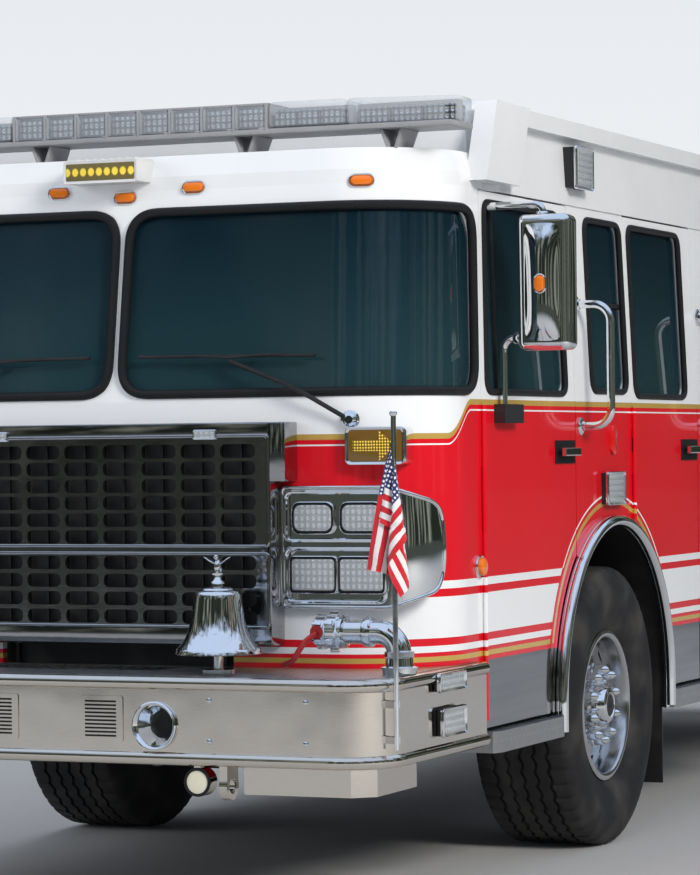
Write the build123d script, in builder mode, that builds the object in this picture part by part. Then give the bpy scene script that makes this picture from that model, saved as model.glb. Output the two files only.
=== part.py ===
from build123d import *
import os

# Fire engine, a pumper with a four-door custom cab. Millimetres.
# +X is the vehicle's left, +Y its rear, +Z up. The origin is on the ground, under the middle of its length.
# A "distance" is measured rearward from the face of the front bumper.

# Overall sizes
overall_length = 9450
front_axle = 2540
rear_overhang = 2210
rear_axle = overall_length - rear_overhang

# Cab sizes
cab_half = 1219
cab_face = 533
cab_back_end = 3950
cab_wall = 55
cab_corner = 380
cab_lean = 37
skirt_height = 590
belt_height = 1790
door_top = 2560
brow_height = 2610
roof_height = brow_height + 80
raised_roof_front = 1200
raised_roof_rise = 220
raised_roof_height = roof_height + raised_roof_rise
arch_height = 630
arch_radius = 660
arch_trim = 40
arch_bottom = 500
liner_gap = 21
liner_sheet = 15
door_gap = 6
door_far_gap = 8
door_arch_gap = 10
floor_height = 930
frame_room = 470
step_inner = 900
glass_thickness = 8
glass_depth = 18

# Doors: distance of the hinge edge, of the far edge, and of the hinge edge at the top
driver_door = (1070, 2108, 1150)
crew_door = (2805, 3716, 2805)

# Wheels and chassis
front_tyre_radius = 562
front_tyre_width = 425
front_tyre_middle = 1012
rear_tyre_radius = 538
rear_tyre_width = 300
rear_tyre_spacing = 345
rear_tyre_outside = 1235
bead_radius = 286
rim_thickness = 12
kingpin_half = 920
kingpin_radius = 24
rail_half = 430
rail_width = 80
rail_height = 270
rail_thickness = 12
rail_bottom = 660
rail_start = 560
tailboard_length = 400
body_end = overall_length - tailboard_length
rail_end = body_end - 40
horn_rail = (590, 685)
horn_back = 262
bumper_bracket = (298, 318)

# Bumper sizes
bumper_half = 1270
bumper_bottom = 534
bumper_height = 305
bumper_corner = 205
bumper_wrap = 1000
bumper_thickness = 14
deck_height = bumper_bottom + bumper_height

# Body sizes
body_half = 1245
pump_start = 4030
pump_end = 5150
body_start = 5180
body_bottom = 600
body_top = 2330
body_wall = 40
hose_bed_half = 640
hose_bed_floor = 1500
rear_arch_radius = 640


def behind(distance):
    """Y of a place that lies this far behind the bumper's face."""
    return distance - overall_length / 2


def plan(height):
    """Level plane: sketch x is X, sketch y is the distance, and an extrusion goes up."""
    return Plane(origin=(0, behind(0), height), x_dir=(1, 0, 0), z_dir=(0, 0, 1))


def across(distance):
    """Upright plane across the vehicle: sketch y is Z, and an extrusion goes forward."""
    return Plane(origin=(0, behind(distance), 0), x_dir=(1, 0, 0), z_dir=(0, -1, 0))


def along(x):
    """Upright plane along the vehicle: sketch x is the distance, and an extrusion goes to +X."""
    return Plane(origin=(x, behind(0), 0), x_dir=(0, 1, 0), z_dir=(1, 0, 0))


def block(x, distance, z, mode=Mode.ADD):
    """A square-cut block between two x, two distances and two heights, in the piece being made."""
    with Locations(((x[0] + x[1]) / 2, behind((distance[0] + distance[1]) / 2), (z[0] + z[1]) / 2)):
        Box(x[1] - x[0], distance[1] - distance[0], z[1] - z[0], mode=mode)


def both_sides(shape):
    """The shape and its mirror image on the other side of the vehicle."""
    with BuildPart() as pair:
        add(shape)
        mirror(about=Plane.YZ)
    return pair.part


def cab_outline(face, half, corner, back):
    """Plan outline of the cab: a flat face, round front corners, straight sides and a flat back."""
    with BuildSketch() as outline:
        with BuildLine():
            sides = Polyline((-half, face + corner), (-half, back), (half, back), (half, face + corner))
            turn = CenterArc((half - corner, face + corner), corner, 0, -90)
            front = Line(turn @ 1, (corner - half, face))
            CenterArc((corner - half, face + corner), corner, -90, -90)
        make_face()
    return outline.sketch


def cab_hull(inset):
    """The cab's outside drawn in by inset: upright to the belt, leaning in to the brow, and a roof."""
    # Columns: height, distance of the face, half width
    levels = (
        (skirt_height - inset, cab_face, cab_half),
        (belt_height, cab_face, cab_half),
        (brow_height, cab_face + 122, cab_half - cab_lean),
        (roof_height - inset, cab_face + 165, cab_half - 62),
    )
    with BuildPart() as hull:
        for height, face, half in levels:
            with BuildSketch(plan(height)):
                add(cab_outline(face + inset, half - inset, cab_corner - inset,
                                cab_back_end - inset))
        loft(ruled=True)
    return hull.part


with BuildPart() as shell_maker:
    add(cab_hull(0))
    add(cab_hull(cab_wall), mode=Mode.SUBTRACT)
    block((-cab_half, cab_half), (0, cab_back_end), (skirt_height - cab_wall * 2, skirt_height),
          mode=Mode.SUBTRACT)
cab_shell = shell_maker.part


def door_outline(door):
    """Side outline of a door inside its opening, with the wheel arch cut from it."""
    hinge_edge, far_edge, top_edge = door
    clear_radius = arch_radius + arch_trim + door_arch_gap
    with BuildSketch() as outline:
        with BuildLine():
            Polyline((hinge_edge + door_gap, skirt_height - 10), (hinge_edge + door_gap, belt_height),
                     (top_edge + door_gap, door_top - door_gap),
                     (far_edge - door_far_gap, door_top - door_gap),
                     (far_edge - door_far_gap, skirt_height - 10), close=True)
        make_face()
        with Locations((front_axle, arch_height)):
            Circle(clear_radius, mode=Mode.SUBTRACT)
        with Locations((front_axle, arch_height / 2)):
            Rectangle(2 * clear_radius, arch_height, mode=Mode.SUBTRACT)
    return outline.sketch


def window_outline(front_low, front_high, back, low, high, corner):
    """Side outline of a window with a raked front edge and round corners."""
    with BuildSketch() as outline:
        with BuildLine():
            FilletPolyline((front_low, low), (back, low), (back, high), (front_high, high),
                           radius=corner, close=True)
        make_face()
    return outline.sketch


# Windows: front edge low and high, back edge, sill, head, corner radius
driver_window = (1125, 1190, 1995, 1815, 2515, 55)
side_window = (2305, 2305, 2745, 1830, 2515, 60)
crew_window = (2850, 2850, 3545, 1815, 2515, 60)
windshield_low = 1815
windshield_high = 2480
windshield_corner = 110
windshield_post = 26


def windshield_tool():
    """The room that one windshield pane takes: from the centre post, round the corner of the cab."""
    with BuildPart() as room:
        with BuildSketch(along(windshield_post)):
            with BuildLine():
                FilletPolyline((cab_face - 200, windshield_low), (cab_face + 475, windshield_low),
                               (cab_face + 540, windshield_high), (cab_face - 200, windshield_high),
                               radius=windshield_corner, close=True)
            make_face()
        extrude(amount=cab_half)
        with BuildSketch(across(0)):
            with BuildLine():
                FilletPolyline((windshield_post, windshield_low), (cab_half + 200, windshield_low),
                               (cab_half + 200, windshield_high), (windshield_post, windshield_high),
                               radius=windshield_corner / 2, close=True)
            make_face()
        extrude(amount=-1400, mode=Mode.INTERSECT)
    return room.part


windshield_room = both_sides(windshield_tool())


def glass_from(room):
    """Glass that lies in the cab's wall, just under its outside, and fills the given room."""
    with BuildPart() as pane:
        add(cab_hull(glass_depth))
        add(cab_hull(glass_depth + glass_thickness), mode=Mode.SUBTRACT)
        add(room, mode=Mode.INTERSECT)
    return pane.part


def side_room(outline, side):
    """The room of a side window, on the left for side 1 and on the right for side -1."""
    with BuildPart() as room:
        with BuildSketch(along(side * 900)):
            add(window_outline(*outline))
        extrude(amount=side * 400)
    return room.part


# Cab front: the face, both round corners and the windshield posts, down to the skirt
with BuildPart() as cab_front:
    add(cab_shell)
    with BuildSketch(along(-cab_half - 10)):
        with BuildLine():
            Polyline((cab_face - 100, 0), (driver_door[0], 0), (driver_door[0], belt_height),
                     (driver_door[2], door_top), (cab_face - 100, door_top), close=True)
        make_face()
    extrude(amount=2 * cab_half + 20, mode=Mode.INTERSECT)
    add(windshield_room, mode=Mode.SUBTRACT)
    block((-frame_room, frame_room), (0, driver_door[0]), (0, floor_height), mode=Mode.SUBTRACT)
cab_front.part.label = "cab_front"

# Low roof over the front seats, with the brow that carries the marker lamps
with BuildPart() as cab_roof:
    add(cab_shell)
    block((-cab_half, cab_half), (0, raised_roof_front), (door_top, roof_height + 10), mode=Mode.INTERSECT)
cab_roof.part.label = "cab_roof"

# Raised roof over the crew: a hollow box with a leaning front, round shoulders and corner boxes
raised_roof_half = 1192
raised_roof_shoulder = 90
corner_box_half = 1250
corner_box_top = raised_roof_height - 25


def raised_section(inset):
    """Cross section of the raised roof, drawn in by inset: sides that lean in and round shoulders."""
    with BuildSketch() as section:
        with BuildLine():
            upper = FilletPolyline((inset - raised_roof_half, door_top),
                                   (inset + 20 - raised_roof_half, raised_roof_height - inset),
                                   (raised_roof_half - 20 - inset, raised_roof_height - inset),
                                   (raised_roof_half - inset, door_top), radius=raised_roof_shoulder)
            Line(upper @ 1, upper @ 0)
        make_face()
    return section.sketch


with BuildPart() as corner_maker:
    with BuildSketch(along(raised_roof_half - 25)):
        with BuildLine():
            Polyline((1072, door_top + 25), (1440, door_top + 25), (1535, corner_box_top),
                     (1190, corner_box_top), close=True)
        make_face()
    extrude(amount=corner_box_half - raised_roof_half + 25)
    block((raised_roof_half - 25, corner_box_half - 30), (1500, cab_back_end),
          (corner_box_top - 65, corner_box_top))
with BuildPart() as raised_roof:
    with BuildSketch(across(raised_roof_front)):
        add(raised_section(0))
    extrude(amount=raised_roof_front - cab_back_end)
    chamfer(raised_roof.edges().group_by(Axis.Y)[0].sort_by(Axis.Z)[-1], 160, 60)
    with BuildSketch(across(raised_roof_front + cab_wall)):
        add(raised_section(cab_wall))
    extrude(amount=raised_roof_front - cab_back_end + 2 * cab_wall, mode=Mode.SUBTRACT)
    add(both_sides(corner_maker.part))
raised_roof.part.label = "raised_roof"


def side_panel(side):
    """The cab's fixed side between its doors, with its window and the top of the wheel arch."""
    with BuildPart() as panel:
        add(cab_shell)
        with BuildSketch(along(side * (cab_half - 200))):
            with Locations(((driver_door[1] + crew_door[0]) / 2, (skirt_height + door_top) / 2)):
                Rectangle(crew_door[0] - driver_door[1], door_top - skirt_height)
            with Locations((front_axle, arch_height)):
                Circle(arch_radius + liner_gap + liner_sheet, mode=Mode.SUBTRACT)
        extrude(amount=side * 250, mode=Mode.INTERSECT)
        add(side_room(side_window, side), mode=Mode.SUBTRACT)
    return panel.part


# Cab sides between the doors, left and right
cab_side_left = side_panel(1)
cab_side_left.label = "cab_side_left"
cab_side_right = side_panel(-1)
cab_side_right.label = "cab_side_right"

# Cab back wall with its rear posts
with BuildPart() as cab_back:
    add(cab_shell)
    block((-cab_half, cab_half), (crew_door[1], cab_back_end), (skirt_height, door_top), mode=Mode.INTERSECT)
    block((-step_inner, step_inner), (crew_door[1], cab_back_end), (0, floor_height), mode=Mode.SUBTRACT)
cab_back.part.label = "cab_back"

# Floor with the raised engine tunnel down its middle and risers beside the door steps
tunnel_half = 440
tunnel_height = 1420
tunnel_front = 1200
tunnel_back = 2650
panel_sheet = 25
wheelhouse_front = 1840
wheelhouse_back = 3240
with BuildPart() as cab_floor:
    with BuildSketch(plan(floor_height)):
        with Locations((0, (cab_face + cab_wall + cab_back_end - cab_wall) / 2)):
            Rectangle(2 * step_inner, cab_back_end - cab_face - 2 * cab_wall)
        with Locations((0, (wheelhouse_front + wheelhouse_back) / 2)):
            Rectangle(2 * cab_half, wheelhouse_back - wheelhouse_front, mode=Mode.SUBTRACT)
            Rectangle(2 * tunnel_half, wheelhouse_back - wheelhouse_front)
        with Locations((0, (tunnel_front + tunnel_back) / 2)):
            Rectangle(2 * tunnel_half, tunnel_back - tunnel_front, mode=Mode.SUBTRACT)
        add(cab_outline(cab_face + cab_wall, cab_half - cab_wall, cab_corner - cab_wall,
                        cab_back_end - cab_wall), mode=Mode.INTERSECT)
    extrude(amount=panel_sheet)
    with BuildSketch(across(tunnel_front)):
        with BuildLine():
            tunnel_line = FilletPolyline((-tunnel_half, floor_height), (-tunnel_half, tunnel_height),
                                         (tunnel_half, tunnel_height), (tunnel_half, floor_height), radius=90)
            Line(tunnel_line @ 1, tunnel_line @ 0)
        make_face()
    extrude(amount=tunnel_front - tunnel_back)
    with BuildSketch(across(tunnel_front + panel_sheet)):
        with BuildLine():
            hollow_line = FilletPolyline((panel_sheet - tunnel_half, floor_height - 1),
                                         (panel_sheet - tunnel_half, tunnel_height - panel_sheet),
                                         (tunnel_half - panel_sheet, tunnel_height - panel_sheet),
                                         (tunnel_half - panel_sheet, floor_height - 1), radius=65)
            Line(hollow_line @ 1, hollow_line @ 0)
        make_face()
    extrude(amount=tunnel_front - tunnel_back + 2 * panel_sheet, mode=Mode.SUBTRACT)
    for low_x, high_x in ((-step_inner, 20 - step_inner), (step_inner - 20, step_inner)):
        block((low_x, high_x), (driver_door[0], wheelhouse_front), (skirt_height, floor_height))
        block((low_x, high_x), (wheelhouse_back, crew_door[1]), (skirt_height, floor_height))
cab_floor.part.label = "cab_floor"

def arch_band(inner, outer):
    """Side outline of a band round the wheel opening: a half ring with two upright legs."""
    with BuildSketch() as band:
        with Locations((front_axle, arch_height)):
            Circle(outer)
            Rectangle(2 * outer, outer, align=(Align.CENTER, Align.MAX), mode=Mode.SUBTRACT)
            Rectangle(2 * outer, arch_height - arch_bottom, align=(Align.CENTER, Align.MAX))
            Circle(inner, mode=Mode.SUBTRACT)
            Rectangle(2 * inner, arch_height, align=(Align.CENTER, Align.MAX), mode=Mode.SUBTRACT)
    return band.sketch


# Wheel housings: an arched liner over each front wheel, closed on the inside
liner_inner = arch_radius + liner_gap
liner_outer = liner_inner + liner_sheet
with BuildPart() as wheelhouse_maker:
    with BuildSketch(along(tunnel_half)):
        add(arch_band(liner_inner, liner_outer))
    extrude(amount=cab_half - tunnel_half)
    with BuildSketch(along(tunnel_half)):
        add(arch_band(1, liner_outer))
        with Locations((front_axle, arch_bottom)):
            Rectangle(320, 600, mode=Mode.SUBTRACT)
    extrude(amount=liner_sheet)
wheelhouses = both_sides(wheelhouse_maker.part)
wheelhouses.label = "wheelhouses"

# Bright trims round the front wheel openings
fenderette_out = 1245
with BuildPart() as trim_maker:
    with BuildSketch(along(cab_half)):
        add(arch_band(arch_radius, arch_radius + arch_trim))
    extrude(amount=fenderette_out - cab_half)
    chamfer(trim_maker.faces().sort_by(Axis.X)[-1].outer_wire().edges(), 15)
arch_trims = both_sides(trim_maker.part)
arch_trims.label = "arch_trims"


def door_part(door, window, side):
    """A door cut from the cab's own shell, with its window cut."""
    with BuildPart() as leaf:
        add(cab_shell)
        with BuildSketch(along(side * (cab_half - 200))):
            add(door_outline(door))
        extrude(amount=side * 250, mode=Mode.INTERSECT)
        add(side_room(window, side), mode=Mode.SUBTRACT)
    return leaf.part


def door_glass(window, side):
    """The glass of a door's window."""
    return glass_from(side_room(window, side))


doors = {}
# Columns: name, door sizes, window outline, side
for name, door, window, side in (
    ("door_front_left", driver_door, driver_window, 1),
    ("door_front_right", driver_door, driver_window, -1),
    ("door_crew_left", crew_door, crew_window, 1),
    ("door_crew_right", crew_door, crew_window, -1),
):
    doors[name] = door_part(door, window, side)
    doors[name].label = name
    doors[name + "_glass"] = door_glass(window, side)
    doors[name + "_glass"].label = name + "_glass"

# Fixed glass: two windshield panes and the two side panes
with BuildPart() as cab_glass:
    add(glass_from(windshield_room))
    for side in (1, -1):
        add(glass_from(side_room(side_window, side)))
cab_glass.part.label = "cab_glass"

# Long barrel hinges up the front edge of each door: the body has the odd knuckles, the door the even ones
hinge_radius = 9
hinge_leaf = 2
hinge_leaf_width = 26
hinge_knuckles = 5
hinge_play = 0.3
hinge_top = belt_height - 20
# Columns: door sizes, bottom of the hinge
front_hinge = (driver_door, skirt_height + 30)
crew_hinge = (crew_door, 1310)


def hinge_part(hinge, side, first):
    """Every second knuckle of a door's hinge with its leaf: first is 0 for the body, 1 for the door."""
    door, low = hinge
    pitch = (hinge_top - low) / hinge_knuckles
    middle = door[0] + door_gap / 2
    with BuildPart() as knuckles:
        for count in range(first, hinge_knuckles, 2):
            bottom = low + count * pitch + hinge_play
            with BuildSketch(plan(bottom)):
                with Locations((side * (cab_half + hinge_radius), middle)):
                    Circle(hinge_radius)
            extrude(amount=pitch - 2 * hinge_play)
            leaf_start = middle - hinge_leaf_width if first == 0 else middle
            leaf = (leaf_start, leaf_start + hinge_leaf_width)
            block(tuple(sorted((side * cab_half, side * (cab_half + hinge_leaf)))), leaf,
                  (bottom, bottom + pitch - 2 * hinge_play))
    return knuckles.part


# Levers on the doors, each on its dark plate
lever_height = 1590
lever_reach = 45


def lever_part(door, side):
    """A door lever: a plate on the skin, a stem and a grip."""
    with BuildPart() as lever:
        far_edge = door[1] - 25
        block((cab_half - 0.2, cab_half + 6), (far_edge - 225, far_edge),
              (lever_height - 45, lever_height + 45))
        block((cab_half + 6, cab_half + lever_reach), (far_edge - 60, far_edge - 35),
              (lever_height - 12, lever_height + 12))
        block((cab_half + lever_reach - 16, cab_half + lever_reach), (far_edge - 215, far_edge - 35),
              (lever_height - 16, lever_height + 16))
        fillet(lever.edges().group_by(Axis.X)[-1], 5)
        if side < 0:
            mirror(about=Plane.YZ, mode=Mode.REPLACE)
    return lever.part


def skin_half(height):
    """Half width of the cab's skin at a height above the belt."""
    return cab_half - cab_lean * (height - belt_height) / (brow_height - belt_height)


# Mirror heads on two arms, carried by the front doors
mirror_x = (1320, 1520)
mirror_distance = (1180, 1300)
mirror_z = (1965, 2460)
mirror_arm_radius = 14
mirror_box = (1700, 1770)
mirror_arm_distance = 1250
with BuildPart() as mirror_head:
    block(mirror_x, mirror_distance, mirror_z)
    fillet(mirror_head.edges(), 28)
with BuildPart() as mirror_arms:
    block((cab_half - 0.2, cab_half + 45), (1200, 1400), mirror_box)
    # Columns: points of the arm's line as x and height, and the radius of its bends
    for points, bend in (
        (((cab_half + 22, mirror_box[0] + 30), (cab_half + 22, 2010), (mirror_x[0] + 40, 2010)), 40),
        (((skin_half(2500), 2500), (mirror_x[0] + 80, 2500), (mirror_x[0] + 80, 2440)), 30),
    ):
        with BuildLine(across(mirror_arm_distance)) as arm_line:
            FilletPolyline(*points, radius=bend)
        with BuildSketch(Plane(origin=arm_line.line @ 0, z_dir=arm_line.line % 0)):
            Circle(mirror_arm_radius)
        sweep()
mirror_left = Part() + mirror_arms.part + mirror_head.part
mirror_right = mirror(mirror_left, about=Plane.YZ)

# Looped grab handles behind the doors, carried by the fixed side and the rear post
handle_out = 130
handle_radius = 16
handle_low = 1690
handle_high = 2170


def handle_part(distance, low, high, out):
    """One grab handle: a bent tube that stands off the skin, with a flange at each foot."""
    with BuildPart() as handle:
        with BuildLine(across(distance)) as bow:
            FilletPolyline((cab_half, low), (cab_half + out, low), (cab_half + out, high),
                           (skin_half(high) + 0.8, high), radius=70)
        with BuildSketch(Plane(origin=bow.line @ 0, z_dir=bow.line % 0)):
            Circle(handle_radius)
        sweep()
    return handle.part


with BuildPart() as handle_maker:
    for distance in (2160, 3770):
        add(handle_part(distance, handle_low, handle_high, handle_out))
grab_handles = both_sides(handle_maker.part)
grab_handles.label = "grab_handles"

# Steps of tread plate below the doors
step_out = 1268
step_bottom = 500
with BuildPart() as step_maker:
    # Columns: front edge, back edge
    for front_edge, back_edge in ((1080, 1838), (3242, cab_back_end - 20)):
        block((step_inner - 20, step_out), (front_edge, back_edge), (step_bottom, skirt_height - 12))
        chamfer(step_maker.edges().filter_by(Axis.Z).group_by(Axis.X)[-1], 20)
    for front_edge, back_edge in ((1090, 1830), (3250, 3700)):
        block((step_inner - 20, step_inner), (front_edge, back_edge), (skirt_height - 13, skirt_height))
steps = both_sides(step_maker.part)
steps.label = "steps"

# Front bumper: one polished band with a round rib along its top and its bottom
rib_radius = 24
rib_out = 14
horn_x = 414
horn_height = 669
horn_radius = 78
louvre_x = 205
louvre_height = 690
louvre_size = (160, 145)
louvre_count = 5
with BuildPart() as bumper:
    with BuildLine(plan(bumper_bottom)) as bumper_path:
        FilletPolyline((-bumper_half, bumper_wrap), (-bumper_half, 0), (bumper_half, 0),
                       (bumper_half, bumper_wrap), radius=bumper_corner)
    with BuildSketch(Plane(origin=bumper_path.line @ 0, x_dir=(1, 0, 0), z_dir=(0, -1, 0))):
        with Locations((rib_out + bumper_thickness / 2, bumper_height / 2)):
            Rectangle(bumper_thickness, bumper_height - rib_radius)
        with Locations((rib_radius, rib_radius), (rib_radius, bumper_height - rib_radius)):
            Circle(rib_radius)
    sweep()
    with BuildSketch(across(-10)):
        with Locations((-horn_x, horn_height), (horn_x, horn_height)):
            Circle(horn_radius + 4)
        with Locations((-louvre_x, louvre_height), (louvre_x, louvre_height)):
            Rectangle(*louvre_size)
    extrude(amount=-120, mode=Mode.SUBTRACT)
    for side in (-1, 1):
        with BuildSketch(across(rib_out + 2)):
            with Locations((side * louvre_x, louvre_height)):
                with GridLocations(0, louvre_size[1] / louvre_count, 1, louvre_count):
                    Rectangle(louvre_size[0], louvre_size[1] / louvre_count * 0.45)
        extrude(amount=-8)
    with BuildSketch(Plane(origin=(horn_x, behind(0), horn_height), x_dir=(0, 1, 0), z_dir=(0, 0, 1))):
        with BuildLine():
            mouth = Line((rib_out + 2, horn_radius + 6), (rib_out + 2, horn_radius - 6))
            flare = RadiusArc(mouth @ 1, (100, 22), 95)
            throat = Polyline(flare @ 1, (250, 14), (250, 22), (110, 30))
            RadiusArc(throat @ 1, mouth @ 0, -85)
        make_face()
    horns = revolve(axis=Axis((horn_x, behind(0), horn_height), (0, 1, 0)))
    mirror(horns, about=Plane.YZ)
bumper.part.label = "bumper"

# Below the bumper: tow eyes on their plates, a round lamp beside each, and a box at each corner
tow_eye_x = (650, 680)
tow_eye_place = (70, 465)
tow_eye_radius = 27
low_lamp_place = (565, 478)
with BuildPart() as hung_maker:
    with BuildSketch(along(tow_eye_x[0])):
        with Locations(tow_eye_place):
            Circle(48)
        Polygon((26, 470), (114, 470), (114, 540), (26, 560), align=None)
        with Locations(tow_eye_place):
            Circle(tow_eye_radius, mode=Mode.SUBTRACT)
    extrude(amount=tow_eye_x[1] - tow_eye_x[0])
    with BuildSketch(across(30)):
        with Locations(low_lamp_place):
            Circle(50)
    extrude(amount=-55)
    block((low_lamp_place[0] - 12, low_lamp_place[0] + 12), (30, 60), (520, 540))
    with BuildSketch(plan(440)):
        with BuildLine():
            Polyline((735, 45), (1130, 45), (1200, 110), (1200, 460), (735, 460), close=True)
        make_face()
    extrude(amount=bumper_bottom + 4 - 440)
    add(bumper.part, mode=Mode.SUBTRACT)
hung_below = both_sides(hung_maker.part)
hung_below.label = "hung_below"

# Deck of tread plate between bumper and cab, with an open hose tray
deck_sheet = 5
tray_x = (-560, 300)
tray_distance = (265, 505)
tray_depth = 150
tray_wall = 5
deck_edge = 2 * rib_radius - 8
with BuildPart() as bumper_deck:
    with BuildSketch(plan(deck_height - deck_sheet)):
        with BuildLine():
            FilletPolyline((deck_edge - bumper_half, bumper_wrap - 20), (deck_edge - bumper_half, deck_edge),
                           (bumper_half - deck_edge, deck_edge),
                           (bumper_half - deck_edge, bumper_wrap - 20),
                           radius=bumper_corner - deck_edge)
            Line((bumper_half - deck_edge, bumper_wrap - 20), (deck_edge - bumper_half, bumper_wrap - 20))
        make_face()
        add(cab_outline(cab_face, cab_half, cab_corner, cab_back_end), mode=Mode.SUBTRACT)
    extrude(amount=deck_sheet)
    block(tray_x, tray_distance, (deck_height - tray_depth, deck_height))
    block((tray_x[0] + tray_wall, tray_x[1] - tray_wall),
          (tray_distance[0] + tray_wall, tray_distance[1] - tray_wall),
          (deck_height - tray_depth + tray_wall, deck_height + 10), mode=Mode.SUBTRACT)
bumper_deck.part.label = "bumper_deck"

# Bell, cast thin and open below, and the yoke that carries it on the deck
bell_x = 552
bell_distance = 234
bell_lip = 905
bell_radius = 152
bell_axis = Axis((bell_x, behind(bell_distance), 0), (0, 0, 1))
with BuildPart() as bell:
    with BuildSketch(across(bell_distance)):
        with BuildLine():
            outer_low = ThreePointArc((bell_x + bell_radius, bell_lip), (bell_x + 104, bell_lip + 75),
                                      (bell_x + 84, bell_lip + 190))
            outer_high = ThreePointArc(outer_low @ 1, (bell_x + 62, bell_lip + 232),
                                       (bell_x, bell_lip + 246))
            Polyline(outer_high @ 1, (bell_x, bell_lip + 236))
            inner_high = ThreePointArc((bell_x, bell_lip + 236), (bell_x + 55, bell_lip + 224),
                                       (bell_x + 75, bell_lip + 188))
            inner_low = ThreePointArc(inner_high @ 1, (bell_x + 95, bell_lip + 75),
                                      (bell_x + bell_radius - 8, bell_lip))
            Line(inner_low @ 1, outer_low @ 0)
        make_face()
    revolve(axis=bell_axis)
    with BuildSketch(across(bell_distance)):
        with BuildLine():
            Polyline((bell_x, bell_lip + 244), (bell_x + 26, bell_lip + 244), (bell_x + 16, bell_lip + 275),
                     (bell_x + 22, bell_lip + 300), (bell_x + 8, bell_lip + 355), (bell_x, bell_lip + 355),
                     close=True)
        make_face()
    revolve(axis=bell_axis)
bell.part.label = "bell"
with BuildPart() as bell_stand:
    with BuildSketch(plan(deck_height)):
        with Locations((bell_x, bell_distance)):
            Circle(60)
    extrude(amount=12)
    with BuildSketch(plan(deck_height + 12)):
        with Locations((bell_x, bell_distance)):
            Circle(18)
    extrude(amount=bell_lip + 236 - deck_height - 12)
bell_stand.part.label = "bell_stand"

# Swivel discharge: a riser from the deck, an elbow and a coupling with its cap
swivel_x = 1185
swivel_distance = 350
swivel_radius = 42
swivel_top = 980
swivel_reach = 295
with BuildPart() as front_swivel:
    with BuildLine(across(swivel_distance)) as swivel_line:
        FilletPolyline((swivel_x, deck_height), (swivel_x, swivel_top), (swivel_x - swivel_reach, swivel_top),
                       radius=75)
    with BuildSketch(Plane(origin=swivel_line.line @ 0, z_dir=swivel_line.line % 0)):
        Circle(swivel_radius)
    sweep()
    with BuildSketch(plan(deck_height)):
        with Locations((swivel_x, swivel_distance)):
            Circle(60)
    extrude(amount=14)
    with BuildSketch(along(swivel_x - swivel_reach)):
        with Locations((swivel_distance, swivel_top)):
            RegularPolygon(58, 8)
    extrude(amount=90)
front_swivel.part.label = "front_swivel"

# Flag staff on the bumper's corner, and the small flag that hangs from it
staff_turn = 65
staff_radius = 9
staff_stand_off = 14
staff_foot = 600
staff_top = 1735
staff_reach = bumper_corner + staff_stand_off + staff_radius
with BuildPart() as flag_staff:
    with BuildSketch(plan(staff_foot)):
        with Locations((bumper_half - bumper_corner, bumper_corner)):
            with PolarLocations(staff_reach, 1, staff_turn - 90):
                Circle(staff_radius)
    extrude(amount=staff_top - staff_foot)
    for height in (620, 740):
        with BuildSketch(plan(height)):
            with Locations((bumper_half - bumper_corner, bumper_corner)):
                with PolarLocations(staff_reach - staff_radius - staff_stand_off / 2, 1, staff_turn - 90):
                    Rectangle(staff_stand_off + 2 * rib_out, 26)
        extrude(amount=24)
flag_staff.part.label = "flag_staff"
flag_top = 1660
flag_bottom = 1085
flag_edge = 1262.3
with BuildPart() as flag:
    with BuildSketch(across(74)):
        with BuildLine():
            Polyline((flag_edge, flag_top), (1205, flag_top - 60), (1100, flag_top - 430),
                     (1215, flag_bottom), (flag_edge, flag_bottom + 120), close=True)
        make_face()
    extrude(amount=-70)
flag.part.label = "flag"

# Grille: a pressed pan with rounded slots in two fields, over a slatted core
grille_face = 420
grille_sheet = 20
grille_wide = 729
grille_narrow = 673
grille_bottom = 920
grille_shoulder = 1500
grille_top = 1710
slot_size = (135, 48)
slot_pitch = 156
slot_columns = 8


def grille_outline(inset):
    """Front outline of the grille: a wide head over a narrower field, with round corners."""
    with BuildSketch() as outline:
        with BuildLine():
            FilletPolyline((inset - grille_narrow, grille_bottom + inset),
                           (inset - grille_narrow, grille_shoulder + inset),
                           (inset - grille_wide, grille_shoulder + inset),
                           (inset - grille_wide, grille_top - inset),
                           (grille_wide - inset, grille_top - inset),
                           (grille_wide - inset, grille_shoulder + inset),
                           (grille_narrow - inset, grille_shoulder + inset),
                           (grille_narrow - inset, grille_bottom + inset), radius=12, close=True)
        make_face()
    return outline.sketch


def slot_outline():
    """One slot of the grille: a flat bar with its corners cut off."""
    with BuildSketch() as outline:
        Rectangle(*slot_size)
        chamfer(outline.vertices(), slot_size[1] / 3)
    return outline.sketch


with BuildPart() as grille:
    with BuildSketch(across(grille_face)):
        add(grille_outline(0))
    extrude(amount=grille_face - cab_face)
    with BuildSketch(across(grille_face + grille_sheet)):
        add(grille_outline(22))
    extrude(amount=grille_face - cab_face, mode=Mode.SUBTRACT)
    with BuildSketch(across(grille_face)):
        # Columns: height of the lowest row, pitch of the rows, number of rows
        for lowest, pitch, rows in ((1026, 62.5, 4), (1313, 57.5, 6)):
            with Locations((0, lowest + pitch * (rows - 1) / 2)):
                with GridLocations(slot_pitch, pitch, slot_columns, rows):
                    add(slot_outline())
    extrude(amount=-grille_sheet, mode=Mode.SUBTRACT)
grille.part.label = "grille"
core_front = 470
with BuildPart() as radiator_core:
    block((-640, 640), (core_front, cab_face), (grille_bottom + 30, grille_top - 30))
radiator_core.part.label = "radiator_core"

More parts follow.
